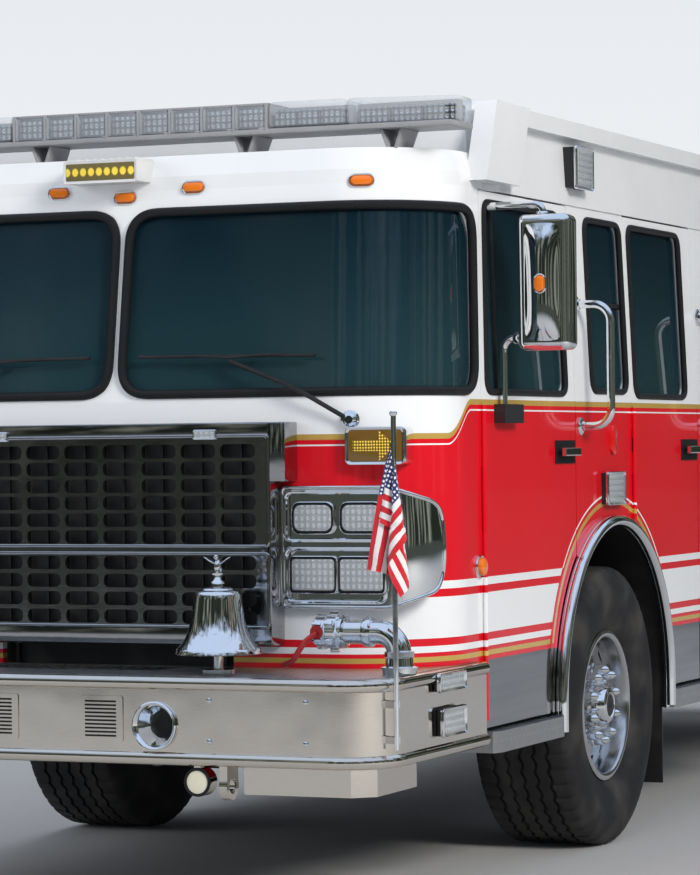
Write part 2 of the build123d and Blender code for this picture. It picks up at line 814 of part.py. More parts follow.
# Lamp bezels: bright housings that square off the cab's round corners, tapered at their outer ends
bezel_face = 507
bezel_inner = 677
bezel_bottom = 1056
bezel_top = 1477
bezel_taper = 95
with BuildPart() as bezel_maker:
    with BuildSketch(plan(bezel_bottom)):
        with BuildLine():
            Polyline((bezel_inner, bezel_face), (1080, bezel_face), (1190, bezel_face + 50),
                     (1243, bezel_face + 255), (1100, bezel_face + 255), (bezel_inner, cab_face + 10),
                     close=True)
        make_face()
    extrude(amount=bezel_top - bezel_bottom)
    for edge, turn in ((bezel_bottom, 1), (bezel_top, -1)):
        with BuildSketch(across(0)):
            with BuildLine():
                Polyline((1085, edge), (1260, edge), (1260, edge + turn * bezel_taper), close=True)
            make_face()
        extrude(amount=-1000, mode=Mode.SUBTRACT)
    add(cab_hull(0), mode=Mode.SUBTRACT)
lamp_bezels = both_sides(bezel_maker.part)
lamp_bezels.label = "lamp_bezels"

# Lamps in the bezels, an upper and a lower pair on each side, and the turn lamp above them
turn_lamp_x = (925, 1150)
turn_lamp_distance = (500, 760)
turn_lamp_height = (1555, 1690)
with BuildPart() as turn_lamp_maker:
    block(turn_lamp_x, turn_lamp_distance, turn_lamp_height)
    add(cab_hull(0), mode=Mode.SUBTRACT)
with BuildPart() as lamp_maker:
    add(turn_lamp_maker.part)
    # Columns: middle x, width, height of the middle, height
    for lamp_x, width, height, tall in ((775, 152, 1370, 102), (975, 152, 1370, 102),
                                        (775, 190, 1170, 126), (975, 190, 1170, 126)):
        block((lamp_x - width / 2, lamp_x + width / 2), (bezel_face - 14, bezel_face - 0.3),
              (height - tall / 2, height + tall / 2))
    # Columns: x, distance and height of a lamp that stands proud of the side
    for lamp_side, lamp_length, lamp_height in (
        ((raised_roof_half - 30, 1240), (2100, 2300), (2625, 2790)),
        ((cab_half, 1252), (2410, 2625), (1375, 1505)),
        ((bumper_half - rib_out, 1285), (480, 730), (765, 828)),
        ((bumper_half - rib_out, 1285), (510, 730), (608, 705)),
    ):
        block(lamp_side, lamp_length, lamp_height)
    add(cab_hull(0), mode=Mode.SUBTRACT)
    add(raised_roof.part, mode=Mode.SUBTRACT)
    add(bumper.part, mode=Mode.SUBTRACT)
front_lamps = both_sides(lamp_maker.part)
front_lamps.label = "front_lamps"

# Light bar on sloped brackets over the front roof
bar_distance = (740, 960)
bar_half = 1250
bar_gap = 65
bar_thickness = 120
bar_height = (roof_height + bar_gap, roof_height + bar_gap + bar_thickness)
with BuildPart() as light_bar:
    with BuildSketch(plan(bar_height[0])):
        with Locations((0, (bar_distance[0] + bar_distance[1]) / 2)):
            Rectangle(2 * bar_half, bar_distance[1] - bar_distance[0])
        chamfer(vertices(), 90)
    extrude(amount=bar_thickness)
    for side in (-1, 1):
        block((side * 700 - 60, side * 700 + 60), (780, 920), (roof_height, bar_height[0]))
light_bar.part.label = "light_bar"
with BuildPart() as flood_lamp:
    block((-200, 100), (535, 700), (brow_height - 22, brow_height + 62))
    add(cab_hull(0), mode=Mode.SUBTRACT)
flood_lamp.part.label = "flood_lamp"

# Frame rails of channel section and their cross members
cross_members = (620, 1150, 3400, 4300, 5250, rear_axle - 740, rear_axle + 580, rail_end - 50)
member_bottom = 790
with BuildPart() as rail_maker:
    with BuildSketch(across(rail_start)):
        with Locations((rail_half - rail_width / 2, rail_bottom + rail_height / 2)):
            Rectangle(rail_width, rail_height)
        with Locations((rail_half - rail_width / 2 - rail_thickness, rail_bottom + rail_height / 2)):
            Rectangle(rail_width, rail_height - 2 * rail_thickness, mode=Mode.SUBTRACT)
    extrude(amount=rail_start - rail_end)
    block((rail_half - rail_width, rail_half), (horn_back, rail_start + 160), horn_rail)
    block((bumper_bracket[0], rail_half), (horn_back, horn_back + 60), horn_rail)
    block(bumper_bracket, (rib_out + bumper_thickness, horn_back + 60), horn_rail)
with BuildPart() as frame_rails:
    add(both_sides(rail_maker.part))
    for distance in cross_members:
        block((rail_thickness - rail_half, rail_half - rail_thickness), (distance - 40, distance + 40),
              (member_bottom, rail_bottom + rail_height - rail_thickness))
frame_rails.part.label = "frame_rails"

# Leaf springs under the rails at both axles
leaf_half_length = 700


def leaf_pack(axle, seat, eye, thick):
    """One bowed pack of leaves with a block at each end that takes it up to the rail."""
    with BuildPart() as pack:
        with BuildSketch(along(rail_half - rail_width)):
            with BuildLine():
                low = ThreePointArc((axle - leaf_half_length, eye), (axle, seat),
                                    (axle + leaf_half_length, eye))
                high = ThreePointArc((axle - leaf_half_length, eye + 16), (axle, seat + thick),
                                     (axle + leaf_half_length, eye + 16))
                Line(low @ 0, high @ 0)
                Line(low @ 1, high @ 1)
            make_face()
        extrude(amount=rail_width)
        for distance in (axle - leaf_half_length + 30, axle + leaf_half_length - 30):
            block((rail_half - rail_width, rail_half), (distance - 25, distance + 25),
                  (eye + 4, rail_bottom))
    return pack.part


beam_top = 520
rear_tube_radius = 70
with BuildPart() as spring_maker:
    add(leaf_pack(front_axle, beam_top, 610, 60))
    add(leaf_pack(rear_axle, rear_tyre_radius + rear_tube_radius, 616, 40))
leaf_springs = both_sides(spring_maker.part)
leaf_springs.label = "leaf_springs"

# Front axle: a dropped I beam with an eye and a kingpin at each end
beam_depth = 100
eye_radius = 42
with BuildPart() as beam_maker:
    with BuildSketch(across(front_axle - beam_depth / 2)):
        with BuildLine():
            Polyline((0, 430), (480, 430), (640, 475), (kingpin_half - 90, 512),
                     (kingpin_half - 20, 512), (kingpin_half - 20, 612), (kingpin_half - 90, 612),
                     (640, 565), (460, beam_top), (0, beam_top), close=True)
        make_face()
    extrude(amount=-beam_depth)
    for near in (beam_depth / 2, 12 - beam_depth / 2):
        with BuildSketch(across(front_axle + near)):
            with BuildLine():
                Polyline((-1, 448), (478, 448), (640, 493), (kingpin_half - 90, 520),
                         (kingpin_half - 90, 572), (640, 547), (462, 502), (-1, 502), close=True)
            make_face()
        extrude(amount=beam_depth / 2 - 12, mode=Mode.SUBTRACT)
    with BuildSketch(plan(512)):
        with Locations((kingpin_half, front_axle)):
            Circle(eye_radius)
    extrude(amount=100)
    with BuildSketch(plan(455)):
        with Locations((kingpin_half, front_axle)):
            Circle(kingpin_radius)
    extrude(amount=215)
front_axle_beam = both_sides(beam_maker.part)
front_axle_beam.label = "front_axle_beam"

# Knuckles: two lugs round the kingpin, a flange, a stub and a steering arm
knuckle_flange = (kingpin_half + 50, kingpin_half + 80)
stub_end = 1120
stub_radius = 35
with BuildPart() as knuckle_maker:
    # Columns: bottom and top of the lug
    for low, high in ((460, 506), (618, 664)):
        with BuildSketch(plan(low)):
            with Locations((kingpin_half, front_axle)):
                Circle(46)
            with Locations((kingpin_half + 27, front_axle)):
                Rectangle(54, 92)
        extrude(amount=high - low)
    block(knuckle_flange, (front_axle - 90, front_axle + 90), (450, 674))
    with BuildSketch(plan(440)):
        with Locations((kingpin_half, front_axle)):
            Circle(kingpin_radius + 0.5)
    extrude(amount=260, mode=Mode.SUBTRACT)
    with BuildSketch(along(knuckle_flange[1])):
        with Locations((front_axle, front_tyre_radius)):
            Circle(stub_radius)
    extrude(amount=stub_end - knuckle_flange[1])
    block((kingpin_half - 40, kingpin_half), (front_axle + 40, front_axle + 210), (462, 490))
knuckle_left = knuckle_maker.part
knuckle_right = mirror(knuckle_left, about=Plane.YZ)


def tyre_part(middle, width, radius, axle):
    """A tyre as one ring: beads, bulging walls, round shoulders and a flat tread."""
    half = width / 2
    with BuildPart() as tyre:
        with BuildSketch(across(axle)):
            with Locations((middle, radius)):
                with BuildLine():
                    low_bead = Line((middle - half + 45, radius + bead_radius + 0.3),
                                    (middle - half + 45, radius + bead_radius + 20))
                    low_wall = ThreePointArc(low_bead @ 1,
                                             (middle - half, radius + (bead_radius + radius) / 2 - 5),
                                             (middle - half + 16, 2 * radius - 28))
                    tread = Polyline(low_wall @ 1, (middle - half + 42, 2 * radius - 2),
                                     (middle, 2 * radius), (middle + half - 42, 2 * radius - 2),
                                     (middle + half - 16, 2 * radius - 28))
                    high_wall = ThreePointArc(tread @ 1,
                                              (middle + half, radius + (bead_radius + radius) / 2 - 5),
                                              (middle + half - 45, radius + bead_radius + 20))
                    Polyline(high_wall @ 1, (middle + half - 45, radius + bead_radius + 0.3),
                             low_bead @ 0)
            make_face()
        revolve(axis=Axis((0, behind(axle), radius), (1, 0, 0)))
    return tyre.part


hub_radius = 110
hand_hole_radius = 24
hand_hole_ring = 222
hand_hole_count = 10


def rim_part(middle, width, radius, axle, disc_at, hub, bore):
    """A disc wheel: a barrel with lips, a dished disc with hand holes, a hub and a drum behind it."""
    half = width / 2 - 34.7
    with BuildPart() as rim:
        with BuildSketch(across(axle)):
            with Locations((middle, radius + bead_radius - rim_thickness / 2)):
                Rectangle(2 * half, rim_thickness)
            with Locations((middle - half + 5, radius + bead_radius + 3),
                           (middle + half - 5, radius + bead_radius + 3)):
                Rectangle(10, 30)
            with BuildLine():
                Polyline((disc_at, radius + bead_radius - rim_thickness + 2),
                         (disc_at + 14, radius + bead_radius - rim_thickness + 2),
                         (disc_at + 44, radius + 195), (disc_at + 44, radius + bore + 1),
                         (disc_at + 30, radius + bore + 1), (disc_at + 30, radius + 190), close=True)
            make_face()
            with Locations(((hub[0] + hub[1]) / 2, radius + (bore + hub_radius) / 2)):
                Rectangle(hub[1] - hub[0], hub_radius - bore)
        revolve(axis=Axis((0, behind(axle), radius), (1, 0, 0)))
        with BuildSketch(along(disc_at - 5)):
            with Locations((axle, radius)):
                with PolarLocations(hand_hole_ring, hand_hole_count):
                    Circle(hand_hole_radius)
        extrude(amount=60, mode=Mode.SUBTRACT)
    return rim.part


front_hub = (1006, 1150)
front_disc = 1085
with BuildPart() as wheel_front_left:
    add(rim_part(front_tyre_middle, front_tyre_width, front_tyre_radius, front_axle, front_disc, front_hub,
                 stub_radius + 1))
    with BuildSketch(along(front_hub[0])):
        with Locations((front_axle, front_tyre_radius)):
            Circle(205)
            Circle(109, mode=Mode.SUBTRACT)
    extrude(amount=75)
    with BuildSketch(along(1145)):
        with Locations((front_axle, front_tyre_radius)):
            Circle(88)
    extrude(amount=60)
    chamfer(wheel_front_left.faces().filter_by(GeomType.PLANE).sort_by(Axis.X)[-1].edges(), 12)
wheel_front_right = mirror(wheel_front_left.part, about=Plane.YZ)
tyre_front_left = tyre_part(front_tyre_middle, front_tyre_width, front_tyre_radius, front_axle)
tyre_front_right = mirror(tyre_front_left, about=Plane.YZ)

# Twin rear wheels: two rims on one hub, with the discs back to back
rear_outer = rear_tyre_outside - rear_tyre_width / 2
rear_inner = rear_outer - rear_tyre_spacing
spindle_radius = 50
rear_hub = (640, 1010)
rear_disc = rear_outer - 112
with BuildPart() as wheel_rear_left:
    add(rim_part(rear_outer, rear_tyre_width, rear_tyre_radius, rear_axle, rear_disc, rear_hub,
                 spindle_radius + 1))
    with BuildSketch(across(rear_axle)):
        with Locations((rear_inner, rear_tyre_radius + bead_radius - rim_thickness / 2)):
            Rectangle(rear_tyre_width - 70, rim_thickness)
        with Locations(((rear_inner + 80 + rear_disc + 10) / 2, rear_tyre_radius + 190)):
            Rectangle(rear_disc + 10 - rear_inner - 80, 180)
    revolve(axis=Axis((0, behind(rear_axle), rear_tyre_radius), (1, 0, 0)))
    with BuildSketch(along(rear_hub[1] - 5)):
        with Locations((rear_axle, rear_tyre_radius)):
            Circle(92)
    extrude(amount=130)
wheel_rear_right = mirror(wheel_rear_left.part, about=Plane.YZ)
with BuildPart() as tyres_rear_left:
    add(tyre_part(rear_outer, rear_tyre_width, rear_tyre_radius, rear_axle))
    add(tyre_part(rear_inner, rear_tyre_width, rear_tyre_radius, rear_axle))
tyres_rear_right = mirror(tyres_rear_left.part, about=Plane.YZ)

# Rear axle: a housing with its round bowl, and tubes with a flange out to the spindles
rear_flange_radius = 105
with BuildPart() as rear_axle_housing:
    with BuildSketch(along(-560)):
        with Locations((rear_axle, rear_tyre_radius)):
            Circle(rear_tube_radius)
    extrude(amount=1120)
    with BuildSketch(along(-950)):
        with Locations((rear_axle, rear_tyre_radius)):
            Circle(spindle_radius)
    extrude(amount=1900)
    for start in (rear_hub[0] - 21, 1 - rear_hub[0]):
        with BuildSketch(along(start)):
            with Locations((rear_axle, rear_tyre_radius)):
                Circle(rear_flange_radius)
        extrude(amount=20)
    with BuildSketch(across(rear_axle - 150)):
        with Locations((0, rear_tyre_radius)):
            Circle(190)
    extrude(amount=-300)
    fillet(rear_axle_housing.edges().filter_by(GeomType.CIRCLE).filter_by(
        lambda edge: abs(edge.radius - 190) < 1), 60)
rear_axle_housing.part.label = "rear_axle_housing"

# Engine as one block under the tunnel, gearbox and drive shaft
rail_inner = rail_half - rail_width
engine_gap = 45
engine_top = tunnel_height - panel_sheet - engine_gap
engine_front = tunnel_front + 100
engine_back = tunnel_back - 100
with BuildPart() as engine_block:
    block((-rail_inner, rail_inner), (engine_front, engine_back), (rail_bottom + 40, engine_top))
    block((-260, 260), (engine_front + 50, engine_back - 100), (590, rail_bottom + 40))
engine_block.part.label = "engine_block"
gearbox_end = 3250
shaft_radius = 55
with BuildPart() as drive_line:
    block((-230, 230), (engine_back, gearbox_end), (600, 900))
    with BuildLine(Plane.YZ) as shaft_line:
        Line((behind(gearbox_end - 1), 700), (behind(rear_axle - 152.5), rear_tyre_radius))
    with BuildSketch(Plane(origin=shaft_line.line @ 0, z_dir=shaft_line.line % 0)):
        Circle(shaft_radius)
    sweep()
drive_line.part.label = "drive_line"

# Fuel tank between the rails behind the rear axle, and the exhaust on the right
with BuildPart() as fuel_tank:
    block((-rail_half, rail_half), (rear_axle + 710, body_end - 350), (430, rail_bottom))
    fillet(fuel_tank.edges().filter_by(Axis.Y), 60)
fuel_tank.part.label = "fuel_tank"
muffler_radius = 120
exhaust_height = 560
exhaust_x = rail_half + muffler_radius
tailpipe_radius = 45
tailpipe_distance = rear_axle - 890
with BuildPart() as exhaust:
    with BuildSketch(across(3320)):
        with Locations((-exhaust_x, exhaust_height)):
            Circle(muffler_radius)
    extrude(amount=-600)
    with BuildLine(plan(exhaust_height - 20)) as tail_line:
        FilletPolyline((-exhaust_x, 3915), (-exhaust_x, tailpipe_distance), (-1225, tailpipe_distance),
                       radius=180)
    with BuildSketch(Plane(origin=tail_line.line @ 0, z_dir=tail_line.line % 0)):
        Circle(tailpipe_radius)
    sweep()
    for distance in (3400, 3840):
        block((-rail_half - 40, 30 - rail_half), (distance - 20, distance + 20),
              (exhaust_height + 20, rail_bottom))
    block((-1190, -1150), (tailpipe_distance - 15, tailpipe_distance + 15), (exhaust_height, body_bottom))
exhaust.part.label = "exhaust"

# Pump module: a house across the frame with a walkway sunk in its top
pump_bottom = 930
pump_top = 2080
pump_half = 1180
walkway_inset = (80, 120, 40)
with BuildPart() as pump_house:
    block((-pump_half, pump_half), (pump_start, pump_end), (pump_bottom, pump_top))
    block((walkway_inset[0] - pump_half, pump_half - walkway_inset[0]),
          (pump_start + walkway_inset[1], pump_end - walkway_inset[1]),
          (pump_top - walkway_inset[2], pump_top), mode=Mode.SUBTRACT)
pump_house.part.label = "pump_house"

# Side panels of the pump with their ports, gauges and the running board below
board_inner = 620
panel_face = body_half - 5
port_reach = 75
intake_place = (4330, 900)
intake_radius = 88
discharge_places = ((4800, 830), (4990, 1120), (4200, 1260))
discharge_radius = 48
gauge_board_place = (4590, 1700)
gauge_board_size = (640, 330)
gauge_board_thickness = 14
with BuildPart() as pump_panel_left:
    block((pump_half, panel_face), (pump_start, pump_end), (body_bottom, pump_top))
    with BuildSketch(along(panel_face)):
        with Locations(intake_place):
            Circle(intake_radius)
        with Locations(*discharge_places):
            Circle(discharge_radius)
    extrude(amount=port_reach)
    with BuildSketch(along(panel_face)):
        with Locations(gauge_board_place):
            Rectangle(*gauge_board_size)
    extrude(amount=gauge_board_thickness)
pump_panel_right = mirror(pump_panel_left.part, about=Plane.YZ)
with BuildPart() as board_maker:
    block((board_inner, body_half + 20), (pump_start, pump_end), (500, 545))
    for distance in (pump_start + 200, pump_end - 200):
        block((board_inner, board_inner + 40), (distance - 30, distance + 30), (545, rail_bottom + 40))
        block((rail_half, board_inner + 40), (distance - 30, distance + 30), (rail_bottom, rail_bottom + 40))
running_boards = both_sides(board_maker.part)
running_boards.label = "running_boards"

# Side bodies: compartments with their openings cut, and the rear wheel arch
# Columns: front edge, back edge, bottom, top
compartments = (
    (body_start + 60, rear_axle - 720, 660, 2080),
    (rear_axle - 640, rear_axle + 640, 1270, 2080),
    (rear_axle + 720, body_end - 60, 660, 2080),
)
shutter_face = body_half - 18
with BuildPart() as side_maker:
    with BuildSketch(along(hose_bed_half)):
        with Locations(((body_start + body_end) / 2, (body_bottom + body_top) / 2)):
            Rectangle(body_end - body_start, body_top - body_bottom)
        with Locations((rear_axle, rear_tyre_radius + 60)):
            Circle(rear_arch_radius, mode=Mode.SUBTRACT)
    extrude(amount=body_half - hose_bed_half)
    for front_edge, back_edge, low, high in compartments:
        block((hose_bed_half + body_wall, body_half + 1), (front_edge, back_edge), (low, high),
              mode=Mode.SUBTRACT)
body_left = side_maker.part
body_right = mirror(body_left, about=Plane.YZ)
with BuildPart() as shutter_maker:
    for front_edge, back_edge, low, high in compartments:
        block((shutter_face - 16, shutter_face), (front_edge, back_edge), (low, high))
        block((shutter_face, shutter_face + 14), (front_edge + 40, back_edge - 40), (low + 30, low + 55))
shutters_left = shutter_maker.part
shutters_right = mirror(shutters_left, about=Plane.YZ)

# Hose bed: floor, front wall and a divider between the side bodies, open above
divider_thickness = 10
with BuildPart() as hose_bed:
    block((-hose_bed_half, hose_bed_half), (body_start, body_end), (hose_bed_floor, hose_bed_floor + 30))
    block((-hose_bed_half, hose_bed_half), (body_start, body_start + 30), (hose_bed_floor, body_top))
    block((-divider_thickness / 2, divider_thickness / 2), (body_start, body_end - 150),
          (hose_bed_floor, body_top - 120))
hose_bed.part.label = "hose_bed"
with BuildPart() as water_tank:
    block((-560, 560), (body_start + 150, body_end - 450), (rail_bottom + rail_height, hose_bed_floor))
water_tank.part.label = "water_tank"

# Rear: a closing panel under the bed, lamps, grab rails and the tailboard
tailboard_height = (470, 540)
with BuildPart() as rear_panel:
    block((-hose_bed_half, hose_bed_half), (body_end - 40, body_end), (rail_bottom, hose_bed_floor))
rear_panel.part.label = "rear_panel"
with BuildPart() as tailboard:
    block((-body_half, body_half), (body_end, overall_length), tailboard_height)
    for side in (-1, 1):
        block((side * 390 - 40, side * 390 + 40), (body_end - 150, overall_length - 60),
              (tailboard_height[1], rail_bottom))
tailboard.part.label = "tailboard"
with BuildPart() as tail_lamp_maker:
    for height in (900, 1060, 1220):
        block((1000, 1160), (body_end, body_end + 35), (height - 65, height + 65))
tail_lamps = both_sides(tail_lamp_maker.part)
tail_lamps.label = "tail_lamps"
with BuildPart() as rail_maker_rear:
    with BuildLine(along(940)) as rear_rail_line:
        FilletPolyline((body_end, 1300), (body_end + 85, 1300), (body_end + 85, 2150),
                       (body_end, 2150), radius=50)
    with BuildSketch(Plane(origin=rear_rail_line.line @ 0, z_dir=rear_rail_line.line % 0)):
        Circle(16)
    sweep()
rear_rails = both_sides(rail_maker_rear.part)
rear_rails.label = "rear_rails"

# Seats with backs: two in front, four behind
seat_half = 240
seat_box_half = 160
cushion_height = (1300, 1420)
seat_back_top = 2080
seat_back_thickness = 100
with BuildPart() as seats:
    # Columns: middle x, distance of the front edge, distance of the back
    for seat_x, seat_front, seat_rear in ((-720, 1350, 1800), (720, 1350, 1800), (-900, 3400, 3850),
                                          (-300, 3400, 3850), (300, 3400, 3850), (900, 3400, 3850)):
        block((seat_x - seat_half, seat_x + seat_half), (seat_front, seat_rear), cushion_height)
        block((seat_x - seat_half, seat_x + seat_half), (seat_rear - seat_back_thickness, seat_rear),
              (cushion_height[1], seat_back_top))
        block((seat_x - seat_box_half, seat_x + seat_box_half), (seat_front + 80, seat_rear - 40),
              (floor_height + panel_sheet, cushion_height[0]))
seats.part.label = "seats"

# Dash across the front, and the steering wheel on its column
with BuildPart() as dash:
    with BuildSketch(along(-cab_half + 120)):
        with BuildLine():
            Polyline((cab_face + cab_wall, 1250), (cab_face + cab_wall, 1780), (800, 1790), (980, 1680),
                     (960, 1350), (800, 1250), close=True)
        make_face()
    extrude(amount=2 * cab_half - 240)
    add(cab_hull(cab_wall), mode=Mode.INTERSECT)
dash.part.label = "dash"
steering_x = 720
with BuildPart() as steering_wheel:
    with BuildLine(Plane.YZ.offset(steering_x)) as column_line:
        Line((behind(880), 1450), (behind(1130), 1640))
    with BuildSketch(Plane(origin=column_line.line @ 0, z_dir=column_line.line % 0)):
        Circle(30)
    sweep()
    with BuildSketch(Plane(origin=column_line.line @ 1, x_dir=(1, 0, 0), z_dir=column_line.line % 1)):
        Circle(225)
        Circle(197, mode=Mode.SUBTRACT)
        Circle(60)
        with PolarLocations(130, 3):
            Rectangle(150, 36)
    extrude(amount=24)
steering_wheel.part.label = "steering_wheel"

# Mudflaps behind the front wheels
with BuildPart() as flap_maker:
    block((820, 1200), (front_axle + liner_inner + 3, front_axle + liner_outer - 3), (180, arch_bottom))
mudflaps = both_sides(flap_maker.part)
mudflaps.label = "mudflaps"


def together(*shapes):
    """One node made of several pieces."""
    with BuildPart() as group:
        for shape in shapes:
            add(shape)
    return group.part


# Columns: name, door sizes, hinge, side
for name, door, hinge, side in (
    ("door_front_left", driver_door, front_hinge, 1),
    ("door_front_right", driver_door, front_hinge, -1),
    ("door_crew_left", crew_door, crew_hinge, 1),
    ("door_crew_right", crew_door, crew_hinge, -1),
):
    doors[name] = together(doors[name], lever_part(door, side), hinge_part(hinge, side, 1))
doors["door_front_left"] = together(doors["door_front_left"], mirror_left)
doors["door_front_right"] = together(doors["door_front_right"], mirror_right)

nodes = {
    "cab_front": together(cab_front.part, hinge_part(front_hinge, 1, 0), hinge_part(front_hinge, -1, 0)),
    "cab_roof": together(cab_roof.part, raised_roof.part),
    "cab_sides": together(cab_side_left, cab_side_right, hinge_part(crew_hinge, 1, 0),
                          hinge_part(crew_hinge, -1, 0)),
    "cab_back": cab_back.part,
    "cab_floor": cab_floor.part,
    "wheelhouses": together(wheelhouses, mudflaps),
    "arch_trims": arch_trims,
    "cab_glass": cab_glass.part,
    "grab_handles": together(grab_handles, rear_rails),
    "steps": together(steps, running_boards),
    "bumper": together(bumper.part, hung_below),
    "bumper_deck": bumper_deck.part,
    "bell": bell.part,
    "bell_stand": bell_stand.part,
    "front_swivel": front_swivel.part,
    "flag_staff": flag_staff.part,
    "flag": flag.part,
    "grille": grille.part,
    "radiator_core": radiator_core.part,
    "lamp_bezels": lamp_bezels,
    "lamps": together(front_lamps, tail_lamps),
    "light_bar": together(light_bar.part, flood_lamp.part),
    "frame_rails": frame_rails.part,
    "leaf_springs": leaf_springs,
    "axles": together(front_axle_beam, rear_axle_housing.part),
    "knuckle_left": knuckle_left,
    "knuckle_right": knuckle_right,
    "wheel_front_left": wheel_front_left.part,
    "wheel_front_right": wheel_front_right,
    "tyre_front_left": tyre_front_left,
    "tyre_front_right": tyre_front_right,
    "wheel_rear_left": wheel_rear_left.part,
    "wheel_rear_right": wheel_rear_right,
    "tyres_rear_left": tyres_rear_left.part,
    "tyres_rear_right": tyres_rear_right,
    "engine_block": together(engine_block.part, drive_line.part),
    "tanks": together(fuel_tank.part, water_tank.part),
    "exhaust": exhaust.part,
    "pump_house": pump_house.part,
    "pump_panels": together(pump_panel_left.part, pump_panel_right),
    "side_bodies": together(body_left, body_right),
    "shutters": together(shutters_left, shutters_right),
    "hose_bed": together(hose_bed.part, rear_panel.part),
    "tailboard": tailboard.part,
    "seats": seats.part,
    "dash": together(dash.part, steering_wheel.part),
}
os.makedirs("parts", exist_ok=True)
for name, piece in list(nodes.items()) + list(doors.items()):
    piece.label = name
    export_step(piece, f"parts/{name}.step")
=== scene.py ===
import math
import random

import bmesh
import bpy
from mathutils import Matrix, Vector


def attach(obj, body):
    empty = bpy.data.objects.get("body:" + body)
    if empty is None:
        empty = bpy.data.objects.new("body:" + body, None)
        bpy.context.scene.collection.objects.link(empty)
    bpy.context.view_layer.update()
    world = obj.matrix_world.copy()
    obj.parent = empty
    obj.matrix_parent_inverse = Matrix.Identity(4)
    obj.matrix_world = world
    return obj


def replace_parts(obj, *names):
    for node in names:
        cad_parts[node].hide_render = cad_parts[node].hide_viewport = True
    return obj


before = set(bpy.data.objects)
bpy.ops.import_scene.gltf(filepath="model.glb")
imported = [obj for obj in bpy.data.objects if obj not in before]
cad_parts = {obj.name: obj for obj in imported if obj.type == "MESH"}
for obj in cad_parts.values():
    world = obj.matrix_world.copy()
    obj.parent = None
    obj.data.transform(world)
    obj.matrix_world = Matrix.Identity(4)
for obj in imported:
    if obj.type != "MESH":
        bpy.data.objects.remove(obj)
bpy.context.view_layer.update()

# Camera: a person's eye height, ten metres off the cab's front left corner, with a short telephoto lens.
# A place on the vehicle is written with its distance behind the bumper's face, which stands at y = nose.
nose = -4.725
eye = Vector((5.484, nose - 10.07, 1.628))
turn, tilt, lean = math.radians(23.24), math.radians(0.12), math.radians(-0.61)
picture_height, focal_height = 875, 3279.9
ahead = Vector((-math.sin(turn) * math.cos(tilt), math.cos(turn) * math.cos(tilt), math.sin(tilt)))
level = Vector((math.cos(turn), math.sin(turn), 0))
upright = level.cross(ahead)
picture_right = level * math.cos(lean) + upright * math.sin(lean)
picture_up = upright * math.cos(lean) - level * math.sin(lean)
camera = bpy.data.objects.new("camera", bpy.data.cameras.new("camera"))
camera.data.lens = camera.data.sensor_width * focal_height / picture_height
camera.data.clip_end = 300
axes = Matrix((picture_right, picture_up, -ahead)).transposed()
camera.matrix_world = Matrix.Translation(eye) @ axes.to_4x4()
bpy.context.collection.objects.link(camera)
bpy.context.scene.camera = camera
bpy.context.scene.view_settings.view_transform = "Standard"


# Materials: a wire is one value inside a material, so that sums on it read as plain arithmetic. Nodes holds
# one node tree and makes its nodes, and a finish is one material with its shader.
class Wire:
    def __init__(self, nodes, socket):
        self.nodes = nodes
        self.socket = socket

    def do(self, operation, *values):
        return self.nodes.node("ShaderNodeMath", {"operation": operation}, dict(enumerate(values)))

    def __add__(self, other):
        return self.do("ADD", self, other)

    def __sub__(self, other):
        return self.do("SUBTRACT", self, other)

    def __rsub__(self, other):
        return self.do("SUBTRACT", other, self)

    def __mul__(self, other):
        return self.do("MULTIPLY", self, other)

    def __truediv__(self, other):
        return self.do("DIVIDE", self, other)

    def __pow__(self, other):
        return self.do("POWER", self, other)

    def __mod__(self, other):
        return self.do("FLOORED_MODULO", self, other)

    def __gt__(self, other):
        return self.do("GREATER_THAN", self, other)

    def __lt__(self, other):
        return self.do("LESS_THAN", self, other)

    def __abs__(self):
        return self.do("ABSOLUTE", self)

    def within(self, low, high):
        return (self > low) * (self < high)

    def cell(self):
        """Distance from the middle of the unit cell that this value falls in."""
        return abs((self % 1.0) - 0.5)

    def rise(self, low, high, kind="SMOOTHSTEP"):
        return self.nodes.node("ShaderNodeMapRange", {"interpolation_type": kind},
                               {"Value": self, "From Min": low, "From Max": high})


class Nodes:
    def __init__(self, tree):
        self.tree = tree

    def node(self, kind, settings=None, inputs=None, output=0):
        made = self.tree.nodes.new(kind)
        for name, value in (settings or {}).items():
            setattr(made, name, value)
        for name, value in (inputs or {}).items():
            self.feed(made.inputs[name], value)
        return Wire(self, made.outputs[output])

    def feed(self, socket, value):
        if isinstance(value, Wire):
            self.tree.links.new(value.socket, socket)
        else:
            socket.default_value = value

    def mix(self, first, second, share):
        first, second = ((*c, 1) if isinstance(c, tuple) else c for c in (first, second))
        return self.node("ShaderNodeMix", {"data_type": "RGBA"}, {0: share, 6: first, 7: second}, 2)


class Finish(Nodes):
    def __init__(self, name, **sockets):
        self.material = bpy.data.materials.new(name)
        self.material.use_nodes = True
        super().__init__(self.material.node_tree)
        self.shader = self.tree.nodes["Principled BSDF"]
        self.place = self.node("ShaderNodeTexCoord", output="Object")
        self.x, self.y, self.z = (self.node("ShaderNodeSeparateXYZ", {}, {0: self.place}, axis)
                                  for axis in "XYZ")
        self.back = self.y - nose
        self.set(**sockets)

    def set(self, **sockets):
        for name, value in sockets.items():
            value = (*value, 1) if isinstance(value, tuple) else value
            self.feed(self.shader.inputs[name.replace("_", " ")], value)

    def noise(self, scale, detail=3.0, stretch=(1, 1, 1)):
        place = self.node("ShaderNodeMapping", {}, {"Vector": self.place, "Scale": stretch})
        return self.node("ShaderNodeTexNoise", {}, {"Vector": place, "Scale": scale, "Detail": detail})

    def bump(self, height, deep, strength=1.0):
        inputs = {"Strength": strength, "Distance": deep, "Height": height}
        self.set(Normal=self.node("ShaderNodeBump", {}, inputs))


